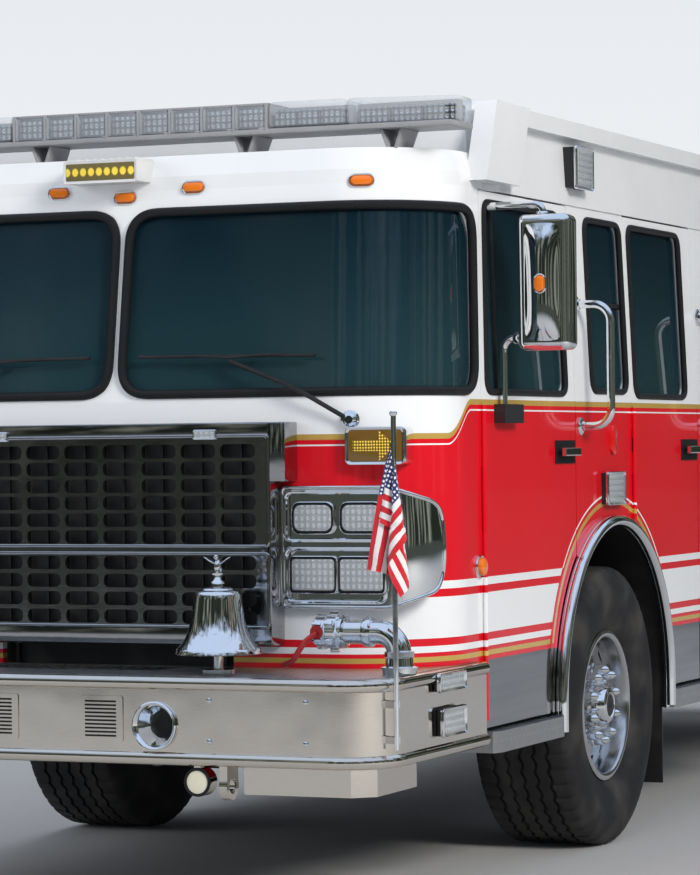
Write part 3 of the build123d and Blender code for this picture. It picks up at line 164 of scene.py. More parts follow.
# Floor and light: a pale floor that fades into a pale room, one big soft lamp ahead on the vehicle's left,
# weaker ones on its right and behind it, and an even glow from all round.
def in_scene(name, shape):
    """Put a finished bmesh into the scene as an object."""
    mesh = bpy.data.meshes.new(name)
    shape.to_mesh(mesh)
    shape.free()
    holder = bpy.data.objects.new(name, mesh)
    bpy.context.collection.objects.link(holder)
    return holder


floor_finish = Finish("pale_floor", Roughness=0.9)
floor_grain = floor_finish.noise(30, 4)
floor_finish.set(Base_Color=floor_finish.mix((0.50, 0.50, 0.49), (0.56, 0.56, 0.55), floor_grain))
far_off = ((floor_finish.x * floor_finish.x + floor_finish.y * floor_finish.y) ** 0.5).rise(9.0, 26.0)
mirrored = floor_finish.node("ShaderNodeLightPath", {}, {}, "Is Glossy Ray")
room_colour = floor_finish.mix((0.90, 0.91, 0.92), (0.06, 0.07, 0.06), mirrored)
room_light = floor_finish.node("ShaderNodeEmission", {}, {"Color": room_colour, "Strength": 1.0})
floor_shade = Wire(floor_finish, floor_finish.shader.outputs[0])
blend = floor_finish.node("ShaderNodeMixShader", {}, {0: far_off, 1: floor_shade, 2: room_light})
floor_finish.feed(floor_finish.tree.nodes["Material Output"].inputs["Surface"], blend)
shape = bmesh.new()
bmesh.ops.create_grid(shape, x_segments=4, y_segments=4, size=90)
floor = in_scene("floor", shape)
floor.data.materials.append(floor_finish.material)
floor.location = (0, 0, -0.001)

# Bright metal and glass reflect a darker ragged strip round the horizon, as trees and houses would be, under
# open sky. The camera sees a pale room, and the rest is lit by an even bluish glow.
world = bpy.data.worlds.new("room")
bpy.context.scene.world = world
world.use_nodes = True
room = Nodes(world.node_tree)
direction = room.node("ShaderNodeTexCoord", output="Generated")
height = room.node("ShaderNodeSeparateXYZ", {}, {0: direction}, "Z")
seen_colour = room.mix((0.90, 0.91, 0.92), (0.42, 0.52, 0.66), height.rise(0.0, 0.7, "LINEAR"))
strip_edge = room.node("ShaderNodeTexNoise", {}, {"Vector": direction, "Scale": 5.0, "Detail": 5.0})
sky_share = height.do("MULTIPLY_ADD", strip_edge, -0.70, height).rise(0.0, 0.24, "LINEAR")
stretched = room.node("ShaderNodeMapping", {}, {"Vector": direction, "Scale": (1.0, 1.0, 0.30)})
patches = room.node("ShaderNodeTexNoise", {}, {"Vector": stretched, "Scale": 9.0, "Detail": 4.0})
strip_colour = room.mix((0.020, 0.026, 0.020), (0.34, 0.36, 0.30), patches.rise(0.48, 0.72, "LINEAR"))
reflected = room.mix(strip_colour, (0.62, 0.76, 1.0), sky_share)
at_camera, at_gloss, through_glass = (room.node("ShaderNodeLightPath", {}, {}, f"Is {kind} Ray")
                                      for kind in ("Camera", "Glossy", "Transmission"))
seen = height.do("MAXIMUM", at_camera, height.do("MAXIMUM", at_gloss, through_glass))
glow = room.node("ShaderNodeBackground", {}, {"Color": (0.80, 0.86, 1.0, 1), "Strength": 0.55})
backdrop = room.node("ShaderNodeBackground", {}, {"Color": room.mix(seen_colour, reflected, at_gloss)})
either = room.node("ShaderNodeMixShader", {}, {0: seen, 1: glow, 2: backdrop})
room.feed(room.tree.nodes["World Output"].inputs["Surface"], either)

# Columns: name, place, the point it shines at, width, power, colour
for name, place, target, width, power, colour in (
    ("key_lamp", (13.5, -11.5, 9.0), (0.8, -3.0, 1.3), 4.5, 2150, (1.0, 0.97, 0.92)),
    ("fill_lamp", (-10.0, -12.0, 6.0), (0.0, -3.0, 1.2), 6.0, 450, (0.94, 0.97, 1.0)),
    ("rear_lamp", (-6.0, 13.0, 9.0), (0.0, 2.0, 1.2), 6.0, 900, (0.94, 0.97, 1.0)),
):
    lamp = bpy.data.objects.new(name, bpy.data.lights.new(name, "AREA"))
    lamp.data.size = width
    lamp.data.energy = power
    lamp.data.color = colour
    lamp.location = place
    lamp.visible_glossy = False
    lamp.rotation_mode = "QUATERNION"
    lamp.rotation_quaternion = (Vector(target) - Vector(place)).to_track_quat("-Z", "Y")
    bpy.context.collection.objects.link(lamp)


# Cab and doors: aluminium sheet in gloss paint, white above and red below, with white lines and gold stripes.
# The gold stripe drops in a curve round each front corner and runs in an arc over the front wheel.
# Below the lowest stripe the doors and sides wear a panel of polished steel.
belt, lining_lean = 1.79, 0.045
axle_back, arch_height = 2.54, 0.63


def dress(finish, *names):
    """Give CAD nodes a finish."""
    for name in names:
        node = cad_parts[name]
        node.data.materials.clear()
        node.data.materials.append(finish.material)


def inside_cab(paint):
    """1 on the inner face of the cab's walls, 0 on the skin and the edges."""
    side, back = abs(paint.x), paint.back
    over_belt = (paint.z - belt).do("MAXIMUM", paint.z - belt, 0.0)
    lean_in = over_belt * lining_lean
    face = over_belt * 0.149 + 0.533
    within_box = (side < 1.187 - lean_in) * (back > face + 0.032) * (back < 3.915)
    corner_x, corner_back = side + lean_in - 0.839, face + 0.38 - back
    corner = (corner_x > 0) * (corner_back > 0) * ((corner_x * corner_x + corner_back * corner_back) > 0.1211)
    return within_box * (1 - corner)


def stripes(paint, near_gold, far_gold, pitch, low, high):
    """The three white lines below the belt, the twisted gold leaf, and the red and white paint."""
    z = paint.z
    lines = z.within(1.112, 1.140) + z.within(0.938, 1.084) + z.within(0.888, 0.911)
    leaf = paint.mix(near_gold, far_gold, (pitch % 1.0).rise(low, high))
    drift = paint.noise(1.3, 2)
    red = paint.mix((0.62, 0.004, 0.012), (0.74, 0.008, 0.02), drift)
    white = paint.mix((0.80, 0.81, 0.82), (0.86, 0.87, 0.87), drift)
    return lines, leaf, red, white


def cab_paint(name, polished_low=True, fittings=False):
    """Gloss paint with its lines, a steel panel low down, and a door's bright and black fittings."""
    paint = Finish(name, Coat_Weight=0.5, Coat_Roughness=0.03, Specular_IOR_Level=0.25)
    z, back, side = paint.z, paint.back, abs(paint.x)
    above = z - (back.rise(0.79, 0.97) * 0.122 + 1.655)
    arch_rise = z.do("MAXIMUM", z - arch_height, 0.0)
    round_arch = ((back - axle_back) * (back - axle_back) + arch_rise * arch_rise) ** 0.5
    off_arch = round_arch > 0.79
    clear_of_arch = off_arch + (z > 1.45) - off_arch * (z > 1.45)
    lines, gold_leaf, red, clean_white = stripes(paint, (0.42, 0.22, 0.04), (0.95, 0.68, 0.18),
                                                 back * 110.0 + z * 110.0 + side * 110.0, 0.30, 0.62)
    arch_line = round_arch.within(0.782, 0.790) * z.within(1.14, 1.50)
    white = (above > 0.0) + above.within(-0.032, -0.0265) + lines * clear_of_arch + arch_line
    gold = above.within(-0.010, 0.010) + z.within(0.855, 0.873) * clear_of_arch
    gold = gold + round_arch.within(0.748, 0.766) * z.within(0.856, 1.50)
    colour = paint.mix(paint.mix(red, clean_white, white), gold_leaf, gold)
    roughness = paint.noise(9.0, 4) * 0.08 + 0.16
    metal = gold * 0.35
    ripples = 0.0
    if polished_low:
        low_panel = (z < 0.838) * (side > 1.19)
        brushed = paint.noise(40, 3, (1, 0.04, 1))
        steel = paint.mix((0.22, 0.22, 0.23), (0.36, 0.36, 0.36), brushed)
        colour = paint.mix(colour, steel, low_panel)
        metal = metal * (1 - low_panel) + low_panel
        roughness = roughness * (1 - low_panel) + (brushed * 0.07 + 0.04) * low_panel
        ripples = paint.noise(3.2, 1, (0.5, 0.5, 1.6)) * low_panel
    lining = inside_cab(paint)
    colour = paint.mix(colour, (0.10, 0.10, 0.105), lining)
    metal = metal * (1 - lining)
    roughness = roughness * (1 - lining) + lining * 0.7
    if fittings:
        chrome = side > 1.2205
        plates = (side > 1.2195) * (side < 1.2262) * (z > 1.54) * (z < 1.64)
        mounting_box = chrome * z.within(1.699, 1.771) * (side < 1.265)
        barrels = (side < 1.2375) * ((back < 1.085) + back.within(2.7, 2.83)) * (z < 1.78)
        colour = paint.mix(colour, (0.78, 0.79, 0.80), chrome * (1 - barrels))
        colour = paint.mix(colour, (0.02, 0.02, 0.022), (plates + mounting_box) * chrome)
        metal = metal * (1 - chrome) + chrome * (1 - plates) * (1 - mounting_box) * (1 - barrels)
        roughness = roughness * (1 - chrome) + chrome * 0.07 + mounting_box * 0.4
    paint.set(Base_Color=colour, Roughness=roughness, Metallic=metal)
    paint.bump(paint.noise(160, 2) * 0.008 + ripples, 0.006, 0.8)
    return paint


dress(cab_paint("cab_front_paint", polished_low=False), "cab_front")
dress(cab_paint("cab_side_paint"), "cab_sides", "cab_back")
doors = [f"door_{place}_{hand}" for place in ("front", "crew") for hand in ("left", "right")]
dress(cab_paint("door_paint", fittings=True), *doors)

# Roof: the same white paint, with a fine haze of road dust over it.
roof_paint = Finish("roof_paint", Coat_Weight=0.5, Coat_Roughness=0.04)
roof_paint.set(Base_Color=roof_paint.mix((0.76, 0.77, 0.78), (0.86, 0.87, 0.87), roof_paint.noise(3.0, 5)),
               Roughness=roof_paint.noise(12, 4) * 0.12 + 0.16)
roof_paint.bump(roof_paint.noise(150, 2), 0.0004, 0.12)
dress(roof_paint, "cab_roof")

# Floor and engine tunnel: sheet under a black rubber mat with fine pimples.
mat = Finish("rubber_mat", Base_Color=(0.03, 0.03, 0.032))
mat.set(Roughness=mat.noise(20, 3) * 0.2 + 0.6)
mat.bump(mat.node("ShaderNodeTexVoronoi", {}, {"Vector": mat.place, "Scale": 90.0}), 0.002, 0.5)
dress(mat, "cab_floor")


# Black parts under the vehicle: steel in satin black chassis paint, dusty where water has dried on it.
def black_steel(name, base, dust):
    finish = Finish(name)
    spots = finish.noise(7.0, 6).rise(0.45, 0.75)
    finish.set(Base_Color=finish.mix(base, dust, spots * 0.5), Roughness=finish.noise(25, 3) * 0.25 + 0.4)
    finish.bump(finish.noise(90, 4), 0.0008, 0.3)
    return finish


chassis_black = black_steel("chassis_black", (0.018, 0.018, 0.019), (0.07, 0.065, 0.06))
dress(chassis_black, "frame_rails", "leaf_springs", "axles", "knuckle_left", "knuckle_right", "tanks",
      "radiator_core")
dress(black_steel("engine_iron", (0.06, 0.06, 0.062), (0.12, 0.11, 0.10)), "engine_block")
dress(black_steel("liner_plastic", (0.012, 0.012, 0.013), (0.04, 0.038, 0.035)), "wheelhouses")


# Bright metal: chrome and polished or brushed stainless steel. Fine streaks and marks break the gloss.
def bright_metal(name, dark, light, roughness, streaks=(1, 1, 1), spread=0.08):
    finish = Finish(name, Metallic=1.0)
    marks = finish.noise(22, 5, streaks)
    finish.set(Base_Color=finish.mix(dark, light, marks), Roughness=marks * spread + roughness)
    # Pressed sheet is never quite flat, so its reflections swim a little
    finish.bump(finish.noise(60, 3, streaks) * 0.02 + finish.noise(5.0, 1), 0.003, 0.6)
    return finish


chrome = bright_metal("chrome", (0.74, 0.75, 0.77), (0.84, 0.85, 0.86), 0.03, spread=0.05)
brushed_steel = bright_metal("brushed_steel", (0.55, 0.55, 0.55), (0.70, 0.70, 0.70), 0.20, (0.4, 0.4, 12))
bumper_steel = bright_metal("bumper_steel", (0.66, 0.60, 0.53), (0.76, 0.71, 0.64), 0.035, (1, 1, 9), 0.06)
dress(bumper_steel, "bumper")
dress(chrome, "arch_trims", "grab_handles", "front_swivel", "bell_stand", "flag_staff")
dress(brushed_steel, "exhaust", "pump_panels")


# Steps and decks: bright aluminium plate with raised lozenges that stand crosswise to one another.
tread_plate = Finish("tread_plate", Metallic=1.0)
first, second = (tread_plate.x + tread_plate.y) * 22.0, (tread_plate.x - tread_plate.y) * 22.0
bars = (first.cell() < 0.14) * (second.cell() < 0.38)
crossbars = ((first + 0.5).cell() < 0.38) * ((second + 0.5).cell() < 0.14)
tops = sum((tread_plate.z.within(level - 0.0006, level + 0.0006) for level in (0.5400, 0.5450, 0.8390)),
           tread_plate.z.within(0.5774, 0.5786))
lozenges = (bars + crossbars) * tops
tread_wear = tread_plate.noise(14, 5)
worn_metal = tread_plate.mix((0.42, 0.42, 0.42), (0.60, 0.60, 0.60), tread_wear)
tread_plate.set(Base_Color=tread_plate.mix(worn_metal, (0.80, 0.80, 0.80), lozenges),
                Roughness=tread_wear * 0.2 + 0.22)
tread_plate.bump(lozenges, 0.0025, 0.8)
dress(tread_plate, "steps", "bumper_deck", "tailboard")


# Glass: laminated panes with a blue-green tint, nearly opaque and dark, partly from the tint and partly as
# painted shade of the cab behind them, so that the cab shows only faintly behind them.
glass = Finish("tinted_glass_and_painted_shade", Roughness=0.02, Alpha=0.88, IOR=1.5, Coat_Weight=0.3, Coat_Roughness=0.02)
# Painted shade: each pane grows darker towards its top.
painted_shade_to_top = (glass.z - 1.8).rise(0.0, 0.75)
glass.set(Base_Color=glass.mix((0.016, 0.045, 0.055), (0.004, 0.016, 0.026), painted_shade_to_top),
          Roughness=glass.noise(4, 4) * 0.02 + 0.015)
dress(glass, "cab_glass", *(f"{door}_glass" for door in doors))


def settle(name, shape, finish, body="chassis", crease=35):
    """Make a finished bmesh a piece that rides on a body and takes its finish from a slot."""
    bmesh.ops.remove_doubles(shape, verts=shape.verts, dist=0.00002)
    bmesh.ops.recalc_face_normals(shape, faces=shape.faces)
    piece = in_scene(name, shape)
    piece.data.shade_smooth()
    piece.data.set_sharp_from_angle(angle=math.radians(crease))
    piece.data.materials.append(finish.material)
    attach(piece, body)
    return piece


def add_rod(shape, points, radius, closed=False, sides=3):
    """Add a rod or bead that follows a smooth line through space."""
    curve = bpy.data.curves.new("line", "CURVE")
    curve.dimensions = "3D"
    curve.bevel_depth = radius
    curve.bevel_resolution = sides
    curve.use_fill_caps = not closed
    curve.resolution_u = 5
    spline = curve.splines.new("NURBS")
    spline.points.add(len(points) - 1)
    for point, place in zip(spline.points, points):
        point.co = (*place, 1)
    spline.order_u = 3
    spline.use_cyclic_u = closed
    spline.use_endpoint_u = not closed
    add_curve(shape, curve)


def add_curve(shape, curve, move=Matrix()):
    """Add what a curve makes to a bmesh, and drop the curve."""
    line = bpy.data.objects.new("line", curve)
    mesh = bpy.data.meshes.new_from_object(line)
    mesh.transform(move)
    shape.from_mesh(mesh)
    bpy.data.objects.remove(line)
    bpy.data.curves.remove(curve)
    bpy.data.meshes.remove(mesh)


# Window rubbers: black beads pressed into the gap round each pane, over the edge of the sheet.
rubber = Finish("window_rubber", Base_Color=(0.012, 0.012, 0.013), Specular_IOR_Level=0.3)
rubber.set(Roughness=rubber.noise(40, 3) * 0.2 + 0.45)
rubber.bump(rubber.noise(140, 3), 0.0006, 0.3)
corner_bend = 0.38


def skin_place(run, z, out=0.0):
    """A place on the cab's skin, run metres round from the middle of its face, at height z."""
    rise = max(0.0, z - belt) / 0.82
    face, half = 0.533 + 0.122 * rise, 1.219 - 0.037 * rise
    straight, side, run = half - corner_bend, math.copysign(1, run), abs(run)
    if run < straight:
        return Vector((side * run, nose + face - out, z))
    angle = min((run - straight) / corner_bend, math.pi / 2)
    past = max(0.0, run - straight - corner_bend * math.pi / 2)
    x = straight + (corner_bend + out) * math.sin(angle)
    return Vector((side * x, nose + face + corner_bend - (corner_bend + out) * math.cos(angle) + past, z))


def rectangle(low_x, high_x, low_z, high_z):
    """Corners of an upright rectangle."""
    return [Vector(pair) for pair in ((low_x, low_z), (high_x, low_z), (high_x, high_z), (low_x, high_z))]


def round_trip(corners, radius, steps=6, gap=0.09):
    """Points along a closed outline with round corners, close enough for a smooth bead."""
    trip = []
    for before, here, after in zip(corners[-1:] + corners[:-1], corners, corners[1:] + corners[:1]):
        start = here + (before - here).normalized() * radius
        end = here + (after - here).normalized() * radius
        for step in range(steps + 1):
            share = step / steps
            trip.append(start * (1 - share) ** 2 + here * 2 * share * (1 - share) + end * share ** 2)
        stretch = after + (here - after).normalized() * radius - end
        count = int(stretch.length / gap)
        trip += [end + stretch * (step + 1) / (count + 1) for step in range(count)]
    return trip


def on_pane(side, back, z, out):
    """A place on the leaning side wall, out from its skin."""
    return Vector((side * (1.219 - lining_lean * (z - belt) + out), nose + back, z))


shape = bmesh.new()
for side in (-1, 1):
    corners = [Vector((0.026, 1.815)), Vector((1.526, 1.815)), Vector((1.462, 2.48)), Vector((0.026, 2.48))]
    trip = round_trip(corners, 0.11)
    add_rod(shape, [skin_place(side * run, z, 0.003) for run, z in trip], 0.017, closed=True)
settle("windshield_rubbers", shape, rubber, crease=60)

hands = ((1, "left"), (-1, "right"))
# Columns: name, body, front edge low and high, back edge, sill, head, corner radius
for name, body, low_edge, high_edge, rear_edge, sill, head, corner in (
    ("door_front_rubber", "door_front", 1.125, 1.190, 1.995, 1.815, 2.515, 0.055),
    ("side_window_rubber", "chassis", 2.305, 2.305, 2.745, 1.830, 2.515, 0.06),
    ("door_crew_rubber", "door_crew", 2.850, 2.850, 3.545, 1.815, 2.515, 0.06),
):
    for side, hand in hands:
        shape = bmesh.new()
        corners = rectangle(low_edge, rear_edge, sill, head)
        corners[3].x = high_edge
        trip = round_trip(corners, corner)
        add_rod(shape, [on_pane(side, back, z, 0.001) for back, z in trip], 0.013, closed=True)
        if body != "door_crew":
            # A bar divides the pane: upright in the door, level in the fixed side
            ends = ((low_edge, 2.18), (rear_edge, 2.18))
            if body == "door_front":
                ends = ((1.27, sill), (1.30, head))
            start, end = (on_pane(side, back, z, -0.016) for back, z in ends)
            add_rod(shape, [start, (start + end) / 2, end], 0.011)
        carrier = body if body == "chassis" else f"{body}_{hand}"
        settle(f"{name}_{hand}", shape, rubber, carrier, crease=60)


def add_block(shape, middle, size, move=Matrix()):
    """Add a plain block and give back its corners."""
    place = move @ Matrix.Translation(middle) @ Matrix.Diagonal((*size, 1))
    return bmesh.ops.create_cube(shape, size=1, matrix=place)["verts"]


def ease(shape, edges, offset, segments=2):
    """Round some edges."""
    return bmesh.ops.bevel(shape, geom=edges, offset=offset, offset_type="OFFSET", affect="EDGES",
                           segments=segments, profile=0.5, material=-1)


def edges_of(corners):
    return list({edge for vertex in corners for edge in vertex.link_edges})


def add_pad(shape, move, wide, tall, deep, corner, edge=0.003, rise=0.0):
    """Add a plate with round corners, from rise above move's level up by deep, with its upper rim eased."""
    move = move @ Matrix.Translation((0, 0, rise))
    made = add_block(shape, (0, 0, deep / 2), (wide, tall, deep), move)
    axis = (move.to_3x3() @ Vector((0, 0, 1))).normalized()
    sides = [e for e in edges_of(made)
             if abs((e.verts[0].co - e.verts[1].co).normalized().dot(axis)) > 0.99]
    cut = ease(shape, sides, corner, 5)
    faces = set(cut["faces"]) | {f for v in made if v.is_valid for f in v.link_faces}
    faces |= {f for face in list(faces) for e in face.edges for f in e.link_faces}
    top = max(faces, key=lambda f: (f.calc_center_median() - move.translation).dot(axis))
    if edge:
        ease(shape, list(top.edges), edge)
        top = max((f for f in shape.faces if f.is_valid), key=lambda f: (
            (f.calc_center_median() - move.translation).dot(axis) > deep - 1e-5) * (
            (f.calc_center_median() - move.translation).length < deep + 1e-3) * f.calc_area())
    return top


def sink(shape, top, rim, deep):
    """Press the middle of a pad down inside a rim, as a lamp's tray is."""
    bmesh.ops.inset_individual(shape, faces=[top], thickness=rim)
    bmesh.ops.translate(shape, verts=list(top.verts), vec=top.normal * -deep)


def facing(place, toward):
    """A frame at place whose third axis looks toward a direction, with its second axis upward."""
    look = Vector(toward).normalized()
    across = Vector((0, 0, 1)).cross(look).normalized()
    return Matrix.Translation(place) @ Matrix((across, look.cross(across), look)).transposed().to_4x4()


# Lamp materials: clear and coloured plastic lenses over bright fluted reflectors, whose facets carry a
# painted glint.
def lens_finish(name, colour, alpha, flutes=160.0):
    finish = Finish(name, Base_Color=colour, Alpha=alpha, Coat_Weight=0.5, Coat_Roughness=0.03)
    finish.set(Roughness=finish.noise(30, 3) * 0.06 + 0.05)
    finish.bump((finish.x * flutes + finish.y * flutes * 0.6).cell(), 0.0015, 0.4)
    return finish


clear_lens = lens_finish("clear_lens", (0.80, 0.84, 0.86), 0.22)
amber_lens = lens_finish("amber_lens", (0.90, 0.28, 0.02), 0.92)
red_lens = lens_finish("red_lens", (0.70, 0.01, 0.01), 0.92)
reflector = Finish("lamp_reflector", Metallic=0.8, Roughness=0.16)
across_cell, rise_cell = ((reflector.x + reflector.y) * 46.0).cell(), (reflector.z * 42.0).cell()
bowl = ((across_cell * across_cell + rise_cell * rise_cell) ** 0.5).rise(0.16, 0.52)
seams = (across_cell > 0.46) + (rise_cell > 0.45)
# Painted glint: each facet of the reflector is bright in its middle and dark towards its rim. The dark seams
# between facets are its joints.
painted_bowl_glint = reflector.mix((0.86, 0.88, 0.90), (0.26, 0.27, 0.29), bowl)
reflector.set(Base_Color=reflector.mix(painted_bowl_glint, (0.03, 0.03, 0.03), seams))
reflector.bump(bowl, 0.006, 0.9)

# Front lamps: an upper pair of flashing lamps and a lower pair of head lamps on each side. Each sits in a
# chromed frame on the housing, with a bright reflector under its clear lens.
for side, hand in hands:
    frames, gaskets, mirrors, lenses = bmesh.new(), bmesh.new(), bmesh.new(), bmesh.new()
    for middle in (0.800, 0.985):
        for height, wide, tall, corner in ((1.370, 0.150, 0.092, 0.026), (1.170, 0.170, 0.110, 0.012)):
            seat = facing(Vector((side * middle, nose + 0.5068, height)), (0, -1, 0))
            frame_top = add_pad(frames, seat, wide + 0.015, tall + 0.024, 0.016, corner + 0.006)
            sink(frames, frame_top, 0.005, 0.010)
            gasket = add_pad(gaskets, seat, wide + 0.003, tall + 0.012, 0.007, corner + 0.003, 0.001, 0.0062)
            sink(gaskets, gasket, 0.006, 0.004)
            add_pad(mirrors, seat, wide - 0.010, tall - 0.002, 0.001, corner - 0.003, 0, 0.0093)
            add_pad(lenses, seat, wide - 0.008, tall, 0.008, corner, 0.004, 0.0105)
    # Raised rims that run round each pair, and a deep groove between them
    for low, high in ((1.075, 1.262), (1.290, 1.462)):
        rim = round_trip(rectangle(0.690, 1.07, low, high), 0.03)
        add_rod(frames, [Vector((side * x, nose + 0.507, z)) for x, z in rim], 0.009, closed=True)
    settle(f"lamp_frames_{hand}", frames, chrome)
    settle(f"lamp_reflectors_{hand}", mirrors, reflector)
    settle(f"lamp_gaskets_{hand}", gaskets, rubber)
    settle(f"lamp_lenses_{hand}", lenses, clear_lens)


# Lamp housings: black boxes behind the side and tail lamps. The housing of each turn lamp is a chromed wedge
# that stands out from the cab's round corner.
def add_box(shape, one, other, edge=0.003, move=Matrix()):
    """Add a block between two opposite corners, with its edges eased."""
    low, high = (Vector(tuple(map(pick, one, other))) for pick in (min, max))
    corners = add_block(shape, (low + high) / 2, high - low, move)
    if edge:
        ease(shape, edges_of(corners), edge)


shape, shells = bmesh.new(), bmesh.new()
for side in (-1, 1):
    # Columns: inner and outer face, front and back distance, low and high
    for near, far, start, end, low, high in (
        (1.170, 1.228, 2.102, 2.298, 2.628, 2.787), (1.200, 1.240, 2.412, 2.623, 1.377, 1.503),
        (1.258, 1.273, 0.482, 0.728, 0.767, 0.826), (1.258, 1.273, 0.512, 0.728, 0.610, 0.703),
        (1.002, 1.158, 9.050, 9.074, 0.837, 0.963), (1.002, 1.158, 9.050, 9.074, 0.997, 1.123),
        (1.002, 1.158, 9.050, 9.074, 1.157, 1.283),
    ):
        add_box(shape, (side * near, nose + start, low), (side * far, nose + end, high), 0.002)
    made = add_block(shells, (side * 1.0375, nose + 0.6075, 1.6225), (0.221, 0.185, 0.131))
    for vertex in made:
        if vertex.co.y > nose + 0.6:
            vertex.co.y -= 0.14 if abs(vertex.co.x) < 1.0 else 0.0
            vertex.co.x -= side * 0.035 if abs(vertex.co.x) > 1.0 else 0.0
    ease(shells, edges_of(made), 0.016, 4)
lamp_black = black_steel("lamp_body", (0.014, 0.014, 0.015), (0.03, 0.03, 0.03))
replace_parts(settle("lamp_boxes", shape, lamp_black), "lamps")
settle("turn_lamp_shells", shells, chrome)


# Lamp bezels: chromed pressings that square off the cab's front corners, with crowned outer ends that bend
# round the corner and a rolled rim. Their backs follow the cab's skin.
def on_bezel(side, along, rise, inward=0.0):
    """A place on the bezel: along runs 0 to 1 from the grille outward, rise -1 to 1 from foot to top."""
    middle, half = 1.2665, 0.2105
    corner_middle = Vector((0.839, nose + 0.913))
    if along < 0.45:
        flat = Vector((0.677 + 0.408 * along / 0.45, nose + 0.507))
    else:
        bend = (along - 0.45) / 0.55
        flat = (Vector((1.085, nose + 0.507)) * (1 - bend) ** 2
                + Vector((1.198, nose + 0.510)) * 2 * bend * (1 - bend)
                + Vector((1.222, nose + 0.672)) * bend ** 2)
        corner = max(0, (bend - 0.74) / 0.26)
        half = half * (1 - 0.30 * bend) - 0.052 * (1 - math.sqrt(1 - corner * corner))
        flat -= (corner_middle - flat).normalized() * 0.010 * (1 - rise * rise) * min(1, bend * 4)
    skin = Vector((flat.x, nose + 0.541))
    if flat.x > corner_middle.x:
        skin = corner_middle + (flat - corner_middle).normalized() * 0.372
    place = flat.lerp(skin, inward)
    return Vector((side * place.x, place.y, middle + rise * half))


for side, hand in hands:
    shape = bmesh.new()
    grid = bmesh.ops.create_grid(shape, x_segments=60, y_segments=12, size=1)["verts"]
    seats = {vertex: ((vertex.co.x + 1) / 2, vertex.co.y) for vertex in grid}
    for vertex, (along, rise) in seats.items():
        vertex.co = on_bezel(side, along, rise)
    grown = bmesh.ops.extrude_face_region(shape, geom=list(shape.faces), use_keep_orig=True)["geom"]
    for vertex in [item for item in grown if isinstance(item, bmesh.types.BMVert)]:
        along, rise = min(seats.items(), key=lambda pair: (pair[0].co - vertex.co).length)[1]
        vertex.co = on_bezel(side, along, rise, 1.0)
    line = [(step / 30, 1) for step in range(31)]
    line += [(1, 1 - step / 5) for step in range(1, 10)]
    line += [(1 - step / 30, -1) for step in range(31)]
    line += [(0, step / 4 - 1) for step in range(1, 8)]
    add_rod(shape, [on_bezel(side, along, rise) for along, rise in line], 0.0075, closed=True)
    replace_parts(settle(f"bezel_shell_{hand}", shape, chrome, crease=40), "lamp_bezels")


# Turn lamps: an amber lens in a chromed bezel, with an arrow of small light dots behind it.
dots = Finish("arrow_lamp", Coat_Weight=0.5, Coat_Roughness=0.03)
pitch_x, pitch_z = dots.x * 95.0, dots.z * 95.0
spot = (((pitch_x % 1.0) - 0.5) ** 2 + ((pitch_z % 1.0) - 0.5) ** 2) ** 0.5 < 0.34
head_reach, off_middle = abs(dots.x) - 1.055, abs(dots.z - 1.622)
arrow = (head_reach > 0.0) * ((off_middle + head_reach * 0.8) < 0.052)
lit = spot * (arrow + abs(dots.x).within(0.955, 1.056) * (off_middle < 0.018))
dots.set(Base_Color=dots.mix((0.16, 0.085, 0.012), (1.0, 0.70, 0.10), lit),
         Roughness=dots.noise(30, 3) * 0.1 + 0.12)
dots.bump(spot, 0.002, 0.5)
for side, hand in hands:
    bezels, lenses = bmesh.new(), bmesh.new()
    seat = facing(Vector((side * 1.0375, nose + 0.515, 1.6225)), (0, -1, 0))
    sink(bezels, add_pad(bezels, seat, 0.226, 0.134, 0.017, 0.022), 0.011, 0.006)
    add_pad(lenses, seat, 0.202, 0.110, 0.006, 0.012, 0.002, 0.010)
    settle(f"turn_lamp_bezel_{hand}", bezels, chrome)
    settle(f"turn_lamp_lens_{hand}", lenses, dots)


# Marker and flashing lamps on the cab's face and sides, each a lens in a thin chromed bezel.
amber_marker = lens_finish("amber_marker", (0.85, 0.20, 0.015), 0.95, 220.0)
bezels, ambers = bmesh.new(), bmesh.new()
for run, z in ((0.0, 2.538), (-0.275, 2.566), (0.275, 2.566), (-0.93, 2.566), (0.93, 2.566)):
    place = skin_place(run, z, -0.002)
    outward = (skin_place(run, z, 0.05) - place).normalized() + Vector((0, 0, 0.12))
    seat = facing(place, outward)
    sink(bezels, add_pad(bezels, seat, 0.094, 0.052, 0.010, 0.025), 0.007, 0.003)
    add_pad(ambers, seat, 0.076, 0.034, 0.014, 0.0165, 0.006, 0.006)
for side in (-1, 1):
    # A round amber lamp stands on the skin ahead of each front door
    seat = facing(Vector((side * 1.218, nose + 1.035, 1.18)), (side, 0, 0))
    sink(bezels, add_pad(bezels, seat, 0.086, 0.086, 0.012, 0.0425), 0.008, 0.004)
    add_pad(ambers, seat, 0.066, 0.066, 0.020, 0.0325, 0.010, 0.007)
settle("marker_bezels", bezels, chrome)
settle("marker_lenses", ambers, amber_marker)

